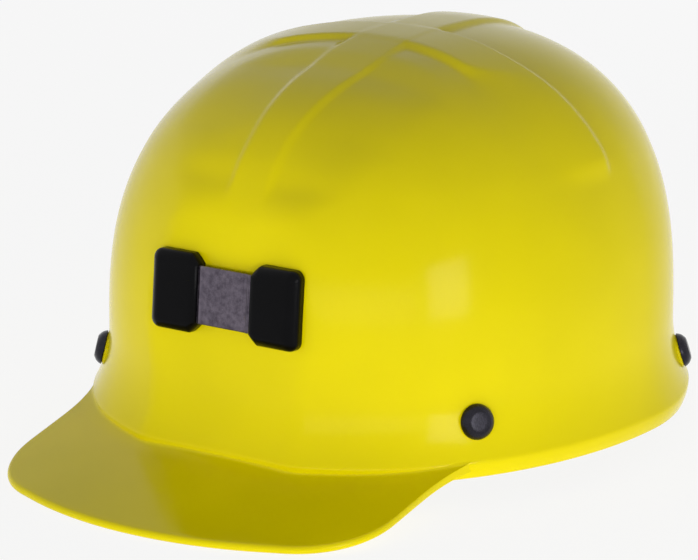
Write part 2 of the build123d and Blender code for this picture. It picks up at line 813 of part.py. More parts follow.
with BuildPart() as sweatband:
    with BuildSketch(Plane.XY.offset(rim_z + band_low + sweat_margin)):
        add(band_face(band_thickness + gap))
        add(band_face(band_thickness + gap + sweat_thickness), mode=Mode.SUBTRACT)
        with Locations((0, widest_y - head_forward - band_front)):
            Rectangle(2 * sweat_half_width, 2 * band_corner, mode=Mode.INTERSECT)
    extrude(amount=band_height - 2 * sweat_margin)
sweatband.part.label = "sweatband"
export_step(sweatband.part, "parts/sweatband.step")


# Nape ratchet. Its planes face the nape: x to the left, y up, offsets run towards the head
def back_plane(y):
    return Plane((0, y, ratchet_z), x_dir=(1, 0, 0), z_dir=(0, -1, 0))


rack_y = band_back_y + housing_floor + shaft_gap
housing_rear_y = rack_y + rack_thickness + gap
cover_rear_y = housing_rear_y + cover_thickness
knob_front_y = cover_rear_y + gap
slot_height = rack_body + 2 * gap
cover_screw_spots = [(-screw_x, 0), (screw_x, 0)]
with BuildPart() as ratchet_housing:
    with BuildSketch(back_plane(band_back_y)):
        RectangleRounded(2 * ratchet_half_width, 2 * ratchet_half_height, cover_corner)
    extrude(amount=band_back_y - housing_rear_y)
    with BuildSketch(back_plane(band_back_y + housing_floor)):
        RectangleRounded(
            2 * (ratchet_half_width - housing_wall),
            2 * (ratchet_half_height - housing_wall),
            cover_corner - housing_wall,
        )
    extrude(amount=-housing_rear_y, mode=Mode.SUBTRACT)
    with BuildSketch(back_plane(band_back_y + housing_floor)):
        for side in (1, -1):
            with Locations((side * ratchet_half_width, side * rack_middle)):
                Rectangle(4 * housing_wall, slot_height)
    extrude(amount=-housing_rear_y, mode=Mode.SUBTRACT)
    with BuildSketch(back_plane(band_back_y)):
        with Locations(cover_screw_spots):
            Circle(screw_radius + housing_wall)
    extrude(amount=band_back_y - housing_rear_y)
    with BuildSketch(back_plane(housing_rear_y)):
        with Locations(cover_screw_spots):
            Circle(screw_radius + thread_gap)
    extrude(amount=screw_depth, mode=Mode.SUBTRACT)
    with BuildSketch(back_plane(band_back_y)):
        Circle(pivot_radius + shaft_gap)
    extrude(amount=-2 * housing_floor, mode=Mode.SUBTRACT)
ratchet_housing.part.label = "ratchet_housing"
export_step(ratchet_housing.part, "parts/ratchet_housing.step")

with BuildPart() as ratchet_cover:
    with BuildSketch(back_plane(housing_rear_y)):
        RectangleRounded(2 * ratchet_half_width, 2 * ratchet_half_height, cover_corner)
        Circle(shaft_radius + shaft_gap, mode=Mode.SUBTRACT)
        with Locations(cover_screw_spots):
            Circle(screw_radius + thread_gap, mode=Mode.SUBTRACT)
    extrude(amount=-cover_thickness)
ratchet_cover.part.label = "ratchet_cover"
export_step(ratchet_cover.part, "parts/ratchet_cover.step")

with BuildPart() as cover_screws:
    with BuildSketch(back_plane(cover_rear_y)):
        with Locations(cover_screw_spots):
            Circle(screw_head_radius)
    extrude(amount=-screw_head_height)
    with BuildSketch(back_plane(cover_rear_y)):
        with Locations(cover_screw_spots):
            Circle(screw_radius)
    extrude(amount=cover_thickness + screw_depth - gap)
    with BuildSketch(back_plane(cover_rear_y + screw_head_height)):
        with Locations(cover_screw_spots):
            Rectangle(2 * screw_head_radius, screw_slot)
    extrude(amount=screw_head_height / 2, mode=Mode.SUBTRACT)
cover_screws.part.label = "cover_screws"
export_step(cover_screws.part, "parts/cover_screws.step")

# Pinion with involute flanks, turned in one piece with its shaft
pitch_radius = pinion_teeth * module_size / 2
pressure = math.radians(pressure_angle)
base_radius = pitch_radius * math.cos(pressure)
tip_radius = pitch_radius + tip_share * module_size
root_radius = pitch_radius - root_share * module_size


def involute(angle):
    return math.tan(angle) - angle


def flank_angle(radius):
    """Half the angle that a tooth takes at a radius, from the involute's formula."""
    half = math.pi / (2 * pinion_teeth) - tooth_slack / pitch_radius
    turn = math.acos(min(1, base_radius / radius))
    return half + involute(pressure) - involute(turn)


def tooth_outline():
    """Corners of every tooth in turn, with a gap between teeth straight up."""
    points = []
    flank = [root_radius]
    flank += [base_radius + share * (tip_radius - base_radius) for share in flank_shares]
    for tooth in range(pinion_teeth):
        middle = math.pi / 2 + (tooth + 0.5) * 2 * math.pi / pinion_teeth
        turns = [(radius, -flank_angle(max(radius, base_radius))) for radius in flank]
        turns += [(radius, flank_angle(max(radius, base_radius))) for radius in reversed(flank)]
        for radius, turn in turns:
            points.append((radius * math.cos(middle + turn), radius * math.sin(middle + turn)))
    return points


with BuildPart() as ratchet_pinion:
    with BuildSketch(back_plane(rack_y)):
        Polygon(tooth_outline(), align=None)
    extrude(amount=-rack_thickness)
    with BuildSketch(back_plane(rack_y)):
        Circle(pivot_radius)
    extrude(amount=housing_floor)
    with BuildSketch(back_plane(rack_y + rack_thickness)):
        Circle(shaft_radius)
    extrude(amount=-(knob_front_y + shaft_length - rack_y - rack_thickness))
ratchet_pinion.part.label = "ratchet_pinion"
export_step(ratchet_pinion.part, "parts/ratchet_pinion.step")

# Racks: the left one runs over the pinion, the right one is the same part turned half round
tooth_pitch = math.pi * module_size
for side, name in ((1, "rack_left"), (-1, "rack_right")):
    with BuildPart() as rack:
        with BuildSketch(back_plane(rack_y)):
            with Locations(Rotation(0, 0, 90 - side * 90)):
                with Locations(((rack_reach - rack_tail) / 2, rack_middle)):
                    Rectangle(rack_reach + rack_tail, rack_body)
                for tooth in range(-rack_teeth, rack_teeth - 1):
                    tip = rack_tip_half
                    foot = tip + (rack_tip_share + root_share) * module_size * math.tan(pressure)
                    tip_y = pitch_radius - rack_tip_share * module_size
                    with Locations((tooth * tooth_pitch, 0)):
                        Polygon(
                            (-tip, tip_y),
                            (tip, tip_y),
                            (foot, rack_low),
                            (-foot, rack_low),
                            align=None,
                        )
        extrude(amount=-rack_thickness)
        with BuildSketch(back_plane(rack_y)):
            with Locations((side * peg_x, side * rack_middle)):
                Circle(peg_radius)
        extrude(amount=peg_length)
    rack.part.label = name
    export_step(rack.part, f"parts/{name}.step")

with BuildPart() as ratchet_knob:
    with BuildSketch(back_plane(knob_front_y)):
        Circle(knob_radius)
        with PolarLocations(knob_radius + knob_grip_radius / 2, knob_grips):
            Circle(knob_grip_radius, mode=Mode.SUBTRACT)
    extrude(amount=-knob_height)
    knob_axis = Axis((0, knob_front_y, ratchet_z), (0, 1, 0))
    chamfer(ratchet_knob.faces().sort_by(knob_axis)[-1].edges(), knob_edge)
    with BuildSketch(back_plane(knob_front_y)):
        Circle(knob_recess_radius)
        Circle(shaft_radius + knob_hub, mode=Mode.SUBTRACT)
    extrude(amount=-knob_recess, mode=Mode.SUBTRACT)
    with BuildSketch(back_plane(knob_front_y)):
        Circle(shaft_radius + thread_gap)
    extrude(amount=-shaft_length - gap, mode=Mode.SUBTRACT)
ratchet_knob.part.label = "ratchet_knob"
export_step(ratchet_knob.part, "parts/ratchet_knob.step")

# Detent spring: a split ring of flat wire on the cover, inside the knob's recess
with BuildPart() as detent_spring:
    with BuildSketch(back_plane(cover_rear_y)):
        with BuildLine():
            CenterArc((0, 0), spring_radius, spring_open / 2, 360 - spring_open)
        trace(line_width=spring_width)
    extrude(amount=-spring_height)
detent_spring.part.label = "detent_spring"
export_step(detent_spring.part, "parts/detent_spring.step")

with BuildPart() as nape_pad:
    with BuildSketch(back_plane(band_back_y - gap)):
        RectangleRounded(2 * nape_pad_half_width, nape_pad_height, 2 * nape_pad_round)
    extrude(amount=nape_pad_thickness)
    head_side = nape_pad.faces().sort_by(Axis.Y)[0]
    fillet(head_side.edges(), nape_pad_round)
nape_pad.part.label = "nape_pad"
export_step(nape_pad.part, "parts/nape_pad.step")

# Cord clip on the back: a base with a loop that the lamp cord runs down through
with BuildPart() as cord_clip:
    with BuildSketch(clip_plane):
        RectangleRounded(clip_width, clip_height, clip_corner)
    extrude(amount=clip_base)
    with BuildSketch(clip_plane):
        with Locations((0, (clip_height - clip_loop_height) / 2)):
            Rectangle(clip_width, clip_loop_height)
    extrude(amount=clip_base + clip_depth)
    loop_edges = cord_clip.faces().sort_by(Axis.Y)[-1].edges().filter_by(Axis.Z)
    fillet(loop_edges, clip_corner)
    loop_top = rim_z + clip_level + clip_height / 2
    with BuildSketch(Plane.XY.offset(loop_top)):
        with Locations((0, clip_plane.origin.Y + clip_base + (clip_depth - clip_bar) / 2)):
            RectangleRounded(clip_width - 2 * clip_bar, clip_depth - clip_bar, clip_corner - clip_bar / 2)
    extrude(amount=-clip_loop_height, mode=Mode.SUBTRACT)
    with BuildSketch(clip_plane):
        with Locations((0, -clip_rivet_drop)):
            Circle(clip_rivet_radius + thread_gap)
    extrude(amount=clip_base, mode=Mode.SUBTRACT)
cord_clip.part.label = "cord_clip"
export_step(cord_clip.part, "parts/cord_clip.step")

with BuildPart() as cord_clip_rivet:
    with BuildSketch(clip_plane.offset(clip_base)):
        with Locations((0, -clip_rivet_drop)):
            Circle(clip_rivet_head_radius)
    extrude(amount=clip_rivet_head_height)
    with BuildSketch(clip_plane.offset(clip_base)):
        with Locations((0, -clip_rivet_drop)):
            Circle(clip_rivet_radius)
    extrude(amount=-(clip_base + clip_proud + wall + gap))
    with BuildSketch(clip_plane.offset(-clip_proud - wall - gap)):
        with Locations((0, -clip_rivet_drop)):
            Circle(clip_rivet_head_radius)
    extrude(amount=-clip_rivet_head_height)
cord_clip_rivet.part.label = "cord_clip_rivet"
export_step(cord_clip_rivet.part, "parts/cord_clip_rivet.step")
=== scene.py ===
import bpy
import math
import numpy as np
from mathutils import Matrix, Vector


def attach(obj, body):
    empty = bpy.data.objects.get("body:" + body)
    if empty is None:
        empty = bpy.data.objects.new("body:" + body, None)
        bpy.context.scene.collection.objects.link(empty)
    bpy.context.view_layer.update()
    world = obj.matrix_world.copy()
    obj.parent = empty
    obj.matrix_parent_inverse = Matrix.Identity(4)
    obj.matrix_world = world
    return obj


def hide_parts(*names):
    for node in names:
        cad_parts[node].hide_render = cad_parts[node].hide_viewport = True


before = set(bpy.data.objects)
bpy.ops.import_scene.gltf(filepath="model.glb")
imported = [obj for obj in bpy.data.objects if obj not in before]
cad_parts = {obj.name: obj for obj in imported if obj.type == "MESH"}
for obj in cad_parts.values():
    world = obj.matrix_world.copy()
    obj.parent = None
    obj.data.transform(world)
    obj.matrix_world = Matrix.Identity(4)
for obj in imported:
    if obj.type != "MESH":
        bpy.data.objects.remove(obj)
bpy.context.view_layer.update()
print("frame loaded")

mm = 0.001

# Sizes are in mm. Shapes are worked out from the cap's widest line (y 0) and its rim (z 0),
# which lie here in the shared frame
capOrigin = (0, 31.95, 9.749309)


def toFrame(points):
    # from the cap's own axes to the shared frame, in metres
    return (points + np.array(capOrigin)) * mm


def smoothStep(value, low, high):
    share = np.clip((value - low) / (high - low), 0, 1)
    return share * share * (3 - 2 * share)


def softMax(a, b, ease):
    # the larger of two values, with a parabola where they differ by less than ease
    near = np.maximum(ease - np.abs(a - b), 0) / ease
    return np.maximum(a, b) + near * near * ease / 4


def softMin(a, b, ease):
    return -softMax(-a, -b, ease)


def signedPower(value, exponent):
    return np.sign(value) * np.abs(value) ** exponent


def unit(vectors):
    return vectors / np.maximum(np.linalg.norm(vectors, axis=-1, keepdims=True), 1e-12)


def joined(*values):
    # arrays side by side along a new last axis, such as x, y and z to points
    return np.stack(np.broadcast_arrays(*values), axis=-1)


def addObject(name, data):
    added = bpy.data.objects.new(name, data)
    bpy.context.scene.collection.objects.link(added)
    return added


def makePiece(name, points, faces, material, replaced, body="cap", uv=None):
    # points in metres, faces as a list of arrays with rows of one length each
    mesh = bpy.data.meshes.new(name)
    rows = []
    for block in faces:
        rows += [tuple(row) for row in np.asarray(block).tolist()]
    mesh.from_pydata(points.tolist(), [], rows)
    mesh.polygons.foreach_set("use_smooth", [True] * len(mesh.polygons))
    if uv is not None:
        layer = mesh.uv_layers.new(name="cloth")
        corners = np.empty(len(mesh.loops), int)
        mesh.loops.foreach_get("vertex_index", corners)
        layer.data.foreach_set("uv", uv[corners].astype(np.float32).ravel())
    mesh.materials.append(material)
    mesh.update()
    piece = addObject(name, mesh)
    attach(piece, body)
    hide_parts(*replaced)
    return piece


def gridFaces(rows, columns, wrap, start=0, flip=False):
    # quads of a grid whose points run row by row; wrap joins the last column to the first
    down = np.arange(rows - 1)[:, None]
    along = np.arange(columns if wrap else columns - 1)[None, :]
    here = start + down * columns + along
    beside = start + down * columns + (along + 1) % columns
    quads = joined(here, beside, beside + columns, here + columns).reshape(-1, 4)
    return quads[:, ::-1] if flip else quads


def fanFaces(ring, tip, flip=False):
    # triangles from a closed ring of point numbers to one point
    fan = joined(ring, np.roll(ring, -1), tip)
    return fan[:, ::-1] if flip else fan


def spunFaces(rows, columns, start=0):
    # a closed skin: a grid that wraps, and the two points after it that close its ends
    ring, size = start + np.arange(columns), rows * columns
    return [gridFaces(rows, columns, True, start), fanFaces(ring, start + size, flip=True),
            fanFaces(ring + size - columns, start + size + 1)]


def tubeFaces(rows, columns, start=0, flip=False):
    # sides and both flat ends of a closed tube
    first = start + np.arange(columns)[None, :]
    last = first + (rows - 1) * columns
    ends = [first, last[:, ::-1]] if flip else [first[:, ::-1], last]
    return [gridFaces(rows, columns, True, start, flip)] + ends


def colour(hexText):
    # sRGB hex to linear
    values = [int(hexText[at:at + 2], 16) / 255 for at in (1, 3, 5)]
    linear = [v / 12.92 if v <= 0.04045 else ((v + 0.055) / 1.055) ** 2.4 for v in values]
    return (*linear, 1.0)


def addNode(tree, kind, settings=None, **inputs):
    # adds a node; in0, in1 are inputs by number, others by name; a (node, output) pair is linked
    node = tree.nodes.new("ShaderNode" + kind)
    for key, value in (settings or {}).items():
        setattr(node, key, value)
    for key, value in inputs.items():
        numbered = key[:2] == "in" and key[2:].isdigit()
        socket = node.inputs[int(key[2:]) if numbered else key.replace("_", " ")]
        if isinstance(value, tuple) and len(value) == 2 and hasattr(value[0], "outputs"):
            tree.links.new(value[0].outputs[value[1]], socket)
        else:
            socket.default_value = value
    return node


def addNoise(tree, source, size, **inputs):
    # noise with this many mm between its patches, as the pair that other nodes take
    return addNode(tree, "TexNoise", Vector=source, Scale=1000 / size, **inputs), "Fac"


def addMath(tree, operation, *values):
    inputs = {"in" + str(index): value for index, value in enumerate(values)}
    return addNode(tree, "Math", {"operation": operation}, **inputs), 0


def addRange(tree, value, before, after):
    # maps one range to another
    return addNode(tree, "MapRange", Value=value, From_Min=before[0], From_Max=before[1], To_Min=after[0],
                   To_Max=after[1]), "Result"


def addTones(tree, source, *stops):
    # colour ramp between two stops as (place, colour)
    ramp = addNode(tree, "ValToRGB", Fac=source)
    for element, (at, tone) in zip(ramp.color_ramp.elements, stops):
        element.position = at
        element.color = tone
    return ramp, "Color"


def startMaterial(name):
    material = bpy.data.materials.new(name)
    material.use_nodes = True
    tree = material.node_tree
    tree.nodes.clear()
    return material, tree, (addNode(tree, "TexCoord"), "Object")


def endMaterial(tree, base, rough, bump, **fixed):
    shader = addNode(tree, "BsdfPrincipled", Base_Color=base, Roughness=rough, Normal=(bump, "Normal"),
                     **fixed)
    addNode(tree, "OutputMaterial", Surface=(shader, "BSDF"))


# Polycarbonate, injection moulded in a polished mould: deep gloss, a faint ripple from cooling and
# hairline scuffs
shellLook = {
    "colour": "#E4D300",
    "shade": "#DACA00",
    "cloud": 60,  # mm between paler and deeper patches
    "ripple": 34,  # mm between ripples
    "scuff": 0.5,  # mm between hairlines
    "scuffPatch": 25,  # mm between scuffed patches
    "scuffTurn": (0.5, 0.9, 0.3),  # way that the hairlines run
    "roughness": 0.14,
    "scuffed": 0.22,
    "shine": 0.12,
}


def makeShellPlastic():
    material, tree, coords = startMaterial("polycarbonateYellow")
    cloud = addNoise(tree, coords, shellLook["cloud"], Detail=2.0)
    tones = addTones(tree, cloud, (0.3, colour(shellLook["shade"])), (0.7, colour(shellLook["colour"])))
    ripple = addNoise(tree, coords, shellLook["ripple"], Detail=1.0, Roughness=0.4)
    stretched = addNode(tree, "Mapping", Vector=coords, Rotation=shellLook["scuffTurn"], Scale=(0.03, 1, 1))
    hairs = addNoise(tree, (stretched, "Vector"), shellLook["scuff"], Detail=2.0)
    patches = addNoise(tree, coords, shellLook["scuffPatch"], Detail=3.0)
    scratched = addMath(tree, "MULTIPLY", hairs, patches)
    rough = addRange(tree, scratched, (0.26, 0.5), (shellLook["roughness"], shellLook["scuffed"]))
    bump = addNode(tree, "Bump", Strength=0.05, Distance=0.004, Height=ripple)
    endMaterial(tree, tones, rough, bump, IOR=1.46, Specular_IOR_Level=shellLook["shine"])
    return material


cloudSize = {"black": 9, "fabric": 7, "webbing": 3}  # mm between paler and darker patches


# Black plastic, moulded in a spark-eroded mould: a satin grain, rubbed smoother in patches
def makeMouldedBlack(name, tint, grain, rough, shine):
    material, tree, coords = startMaterial(name)
    grains = addNoise(tree, coords, grain, Detail=3.0)
    cloud = addNoise(tree, coords, cloudSize["black"], Detail=2.0)
    dark = colour(tint)
    deeper = tuple(0.7 * value for value in dark[:3])
    tones = addTones(tree, cloud, (0.3, (*deeper, 1)), (0.75, dark))
    rub = addRange(tree, cloud, (0.3, 0.7), (rough * 0.85, rough * 1.2))
    bump = addNode(tree, "Bump", Strength=0.25, Distance=0.0002, Height=grains)
    endMaterial(tree, tones, rub, bump, IOR=1.5, Specular_IOR_Level=shine)
    return material


# Steel with a worn or plated face: mottled in patches, fine rolling lines along one way
def makeSteel(name, light, dark, patch, line, rough, metallic=1.0):
    material, tree, coords = startMaterial(name)
    blots = addNoise(tree, coords, patch, Detail=6.0, Roughness=0.65)
    tones = addTones(tree, blots, (0.32, colour(dark)), (0.68, colour(light)))
    along = addNode(tree, "Mapping", Vector=coords, Scale=(1, 1, 0.03))
    lines = addNoise(tree, (along, "Vector"), line, Detail=3.0)
    mixed = addMath(tree, "ADD", lines, blots)
    rub = addRange(tree, mixed, (0.7, 1.3), (rough * 0.75, rough * 1.3))
    bump = addNode(tree, "Bump", Strength=0.2, Distance=0.0001, Height=mixed)
    endMaterial(tree, tones, rub, bump, Metallic=metallic)
    return material


# Woven polyester webbing: warp ribs along the strap, weft across, from the strap's own UV in metres, with
# painted shade that darkens the weave's hollows and lightens its ribs
def makeWebbing(name, light, dark, thread):
    material, tree, coords = startMaterial(name)
    parts = addNode(tree, "SeparateXYZ", Vector=(coords[0], "UV"))
    turns = 2 * math.pi * 1000 / thread
    waveAlong = addMath(tree, "SINE", addMath(tree, "MULTIPLY", (parts, "X"), turns / 2))
    waveAcross = addMath(tree, "SINE", addMath(tree, "MULTIPLY", (parts, "Y"), turns))
    crossed = addMath(tree, "MULTIPLY", waveAlong, waveAcross)
    ribs = addMath(tree, "MULTIPLY_ADD", waveAcross, 0.5, crossed)
    fuzz = addNoise(tree, coords, cloudSize["webbing"], Detail=4.0)
    # painted shade: the colour follows the ribs that make the bump, darker in the hollows and lighter on
    # top, mixed with random fuzz
    shade = addRange(tree, ribs, (-1.2, 1.2), (0.15, 0.75))
    fuzzAndWeaveShade = addMath(tree, "MULTIPLY_ADD", fuzz, 0.3, shade)
    tones = addTones(tree, fuzzAndWeaveShade, (0.2, colour(dark)), (0.9, colour(light)))
    bump = addNode(tree, "Bump", Strength=0.6, Distance=0.0003, Height=ribs)
    endMaterial(tree, tones, 0.82, bump, Sheen_Weight=0.25)
    return material


# Knitted cloth over foam: small loops and a soft pile, with painted shade that makes the hollows between
# the loops slightly darker
def makeFabric(name, light, dark, loop):
    material, tree, coords = startMaterial(name)
    loops = (addNode(tree, "TexVoronoi", Vector=coords, Scale=1000 / loop), "Distance")
    cloud = addNoise(tree, coords, cloudSize["fabric"], Detail=4.0)
    # painted shade: the loops' hollows darker, from the same distance that drives the bump, mixed with
    # random cloud
    mixed = addMath(tree, "MULTIPLY_ADD", cloud, 0.5, loops)
    tones = addTones(tree, mixed, (0.2, colour(light)), (0.95, colour(dark)))
    bump = addNode(tree, "Bump", {"invert": True}, Strength=0.7, Distance=0.0003, Height=loops)
    endMaterial(tree, tones, 0.9, bump, Sheen_Weight=0.3)
    return material


plastic = makeShellPlastic()
# numbers of a black: grain in mm, roughness, shine; of a steel: patches and rolling lines in mm,
# roughness, metallic; of a cloth: mm between threads or loops, coarse enough to show
# glass-filled nylon: deep black with a close satin
blockBlack = makeMouldedBlack("nylonBlackBlock", "#040406", 0.35, 0.22, 0.08)
# cold-rolled steel, worn: grey blots with a violet cast over fine rolling lines
plateSteel = makeSteel("steelRolledPlate", "#746C78", "#4A444E", 2.4, 0.25, 0.42)
# steel, blackened and oiled: nearly black, with soft dark reflections
rivetBlack = makeSteel("steelBlackened", "#25232C", "#1B1A21", 1.6, 0.3, 0.26, 0.7)
# zinc-plated steel: pale, slightly clouded
brightSteel = makeSteel("steelZincPlated", "#B4B4B8", "#8C8C90", 3.0, 0.3, 0.34)
# nylon without filler, polyethylene and acetal: charcoal greys, from waxy to slick
nylonBlack = makeMouldedBlack("nylonBlackHanger", "#1E1E20", 0.4, 0.42, 0.4)
bandPlastic = makeMouldedBlack("polyethyleneBlackBand", "#262628", 0.6, 0.48, 0.4)
ratchetPlastic = makeMouldedBlack("acetalBlackRatchet", "#1A1A1C", 0.4, 0.35, 0.45)
# woven and knitted cloths
webbing = makeWebbing("polyesterWebbing", "#4A4A4C", "#1C1C1E", 1.3)
browFabric = makeFabric("brushedKnitBrow", "#2C2C30", "#121214", 0.9)
padFabric = makeFabric("meshKnitPad", "#303034", "#131315", 1.2)
print("materials made")

shell = {
    "halfWidth": 102.2,
    "frontReach": 126.3,
    "rearReach": 96.6,
    "crownHeight": 133.1,
    "crownBack": 7.0,
    "wallHeight": 30.0,
    "wall": 2.6,
    "lip": 6.3,  # how far the rim flares out
    "lipTop": 6.0,
    "lipRoll": 1.5,
    "frontPlan": 1.98,  # plan exponents, 2 is an ellipse
    "rearPlan": 1.85,
    "sideCurve": 2.66,  # section exponents
    "frontCurve": 2.9,
    "rearCurve": 2.74,
    "panelReach": 117.2,
    "panelLean": 5.2,  # degrees
    "across": 480,  # points round a ring
    "footLevels": (0.25, 0.7, 1.4, 2.2, 3, 3.8, 4.6, 5.3, 6, 6.8, 7.8, 9, 10.5, 12, 14, 16, 18, 20, 22, 24,
                   26, 28, 30),
    "crownRows": 96,
    "crownCrowding": 1.35,  # rows lie closer together at the wall and at the hub
    "innerRows": 30,
    "rimRound": 0.2,  # share of the wall that the rim's two corners take
    "hubTip": 0.02,
}


def planRing(angle):
    # superellipse x = b sgn(cos)|cos|^(2/n), y = a sgn(sin)|sin|^(2/n), with its outward normal
    front = np.sin(angle) < 0
    reach = np.where(front, shell["frontReach"], shell["rearReach"])
    power = np.where(front, shell["frontPlan"], shell["rearPlan"])
    x = shell["halfWidth"] * signedPower(np.cos(angle), 2 / power)
    y = reach * signedPower(np.sin(angle), 2 / power)
    across = signedPower(np.cos(angle), 2 - 2 / power) / shell["halfWidth"]
    along = signedPower(np.sin(angle), 2 - 2 / power) / reach
    size = np.hypot(across, along)
    return x, y, across / size, along / size


def cove(level):
    # how far the wall stands out above the lip: lip ((wall - z) / (wall - top))^2
    share = (shell["wallHeight"] - level) / (shell["wallHeight"] - shell["lipTop"])
    return shell["lip"] * np.clip(share, 0, 1) ** 2


def flare(level):
    # the cove down to the lip, then a small roll back in under it
    roll = shell["lip"] - shell["lipRoll"] * np.clip(1 - level / shell["lipTop"], 0, 1) ** 2
    return np.where(level < shell["lipTop"], roll, cove(level))


# The front in section, as angle up from straight ahead and distance, both from a centre inside the cap:
# the panel, then the middle band above it, with facets that sink away on both sides
front = {
    "centreY": -60.0,
    "centreZ": 60.0,
    "bandAngle": (0, 12.3, 21.7, 30.8, 40, 45, 52, 60, 70, 80, 90, 100, 105, 110, 115, 125, 140),
    "bandReach": (54.47, 54.35, 54.98, 56.1, 56.5, 57.1, 58.4, 59.8, 61.7, 63.6, 66.1, 69.6, 73.0, 78, 86,
                  105, 130),
    "bandHalfAngle": (31, 60, 80, 100, 118, 126),
    "bandHalf": (6.5, 6.5, 8.0, 9.5, 10.5, 11.5),
    "sinkAngle": (31, 38, 45, 52, 60, 70, 80, 90, 100, 110, 124),
    "sinkSlope": (0, 0.03, 0.08, 0.11, 0.15, 0.185, 0.165, 0.13, 0.1, 0.08, 0.05),
    "step": 1.1,  # small drop at the band's edges
    "stepWidth": 3.4,
    "stepTurn": (33, 45),  # it starts over these angles
    "flatten": 3.0,  # the dome is drawn back this much beside the panel
    "flattenX": (34.0, 80.0),
    "flattenY": (50, 100),
    "panelEase": 1.6,
    "bandEase": 2.2,
    "easeTurn": (30, 45),
    "endTurn": 130,
}


def smoothCurve(at, knots, values):
    # cubic through the knots that never overshoots: tangents are harmonic means of the slopes beside them
    knots, values = np.array(knots, float), np.array(values, float)
    step = np.diff(knots)
    slope = np.diff(values) / step
    tangent = np.zeros_like(values)
    same = slope[1:] * slope[:-1] > 0
    both = np.where(same, slope[1:] + slope[:-1], 1)
    tangent[1:-1] = np.where(same, 2 * slope[1:] * slope[:-1] / both, 0)
    tangent[[0, -1]] = slope[[0, -1]]
    at = np.clip(at, knots[0], knots[-1])
    cell = np.clip(np.searchsorted(knots, at, side="right") - 1, 0, len(step) - 1)
    share = (at - knots[cell]) / step[cell]
    a = values[cell] * (1 + 2 * share) * (1 - share) ** 2
    b = tangent[cell] * step[cell] * share * (1 - share) ** 2
    c = values[cell + 1] * share ** 2 * (3 - 2 * share)
    d = tangent[cell + 1] * step[cell] * share ** 2 * (share - 1)
    return a + b + c + d


def shapeFront(points):
    # cuts the dome back to the panel, the middle band and its facets: the distance from the centre is the
    # smaller of the dome's and the section's, with a small round between
    x, z = points[..., 0], points[..., 2]
    beside = 1 - smoothStep(np.abs(x), *front["flattenX"])
    y = points[..., 1] + front["flatten"] * beside * smoothStep(-points[..., 1], *front["flattenY"])
    below = z < front["centreZ"]
    forward = front["centreY"] - y
    up = np.where(below, 0, z - front["centreZ"])
    reach = np.maximum(np.hypot(forward, up), 1e-9)
    turn = np.degrees(np.arctan2(up, forward))
    lean = math.tan(math.radians(shell["panelLean"]))
    upright = shell["panelReach"] - np.maximum(z - shell["wallHeight"], 0) * lean
    face = upright + cove(z) + front["centreY"]
    half = np.interp(turn, front["bandHalfAngle"], front["bandHalf"])
    away = np.maximum(np.abs(x) - half, 0)
    sink = smoothCurve(turn, front["sinkAngle"], front["sinkSlope"])
    step = front["step"] * smoothStep(away, 0, front["stepWidth"]) * smoothStep(turn, *front["stepTurn"])
    band = smoothCurve(turn, front["bandAngle"], front["bandReach"]) - sink * away - step
    limit = np.where(below, face, band)
    higher = smoothStep(turn, *front["easeTurn"])
    ease = front["panelEase"] + (front["bandEase"] - front["panelEase"]) * higher
    ahead = (forward > 0) | (~below & (turn < front["endTurn"]))
    final = np.where(ahead, softMin(reach, limit, ease), reach)
    shaped = points.copy()
    shaped[..., 1] = np.where(ahead, front["centreY"] - final * forward / reach, y)
    shaped[..., 2] = np.where(below, z, front["centreZ"] + final * up / reach)
    return shaped


# The crown's ridges are flat bands, one along the middle and one across it
ridges = {
    "height": 2.0,
    "rearHeight": 1.7,
    "halfWidth": 10.5,
    "width": 21.0,  # of the band across
    "shoulder": 3.6,  # mm over which a band's edge falls
    "shoulderIn": 0.25,  # share of that which lies on the band
    "frontStart": (-42.0, -12.0),  # y over which the middle band rises in front of the hub
    "rearStart": (4.0, 24.0),
    "backX": (0, 11, 22, 32, 42, 51, 60, 73, 84, 92),  # rear edge of the band across
    "backY": (3.0, 2.4, 0.8, -1.2, -3.7, -5.0, -5.7, -6.6, -7.2, -9.5),
    "mergeX": (38.0, 62.0),  # its front edge runs out here
    "mergeNarrow": 0.7,  # where it narrows by this share
    "mergeSoft": 7,  # and falls this much more gently
    "crossEase": 0.6,  # round in the corners where the bands cross
    "lowEnd": 92.0,  # the bands start at this height
    "full": 99.0,
}


def bandShape(past, fall):
    # 1 on a band, 0 where the place lies further past its edge than the fall
    return 1 - smoothStep(past, -ridges["shoulderIn"] * fall, fall)


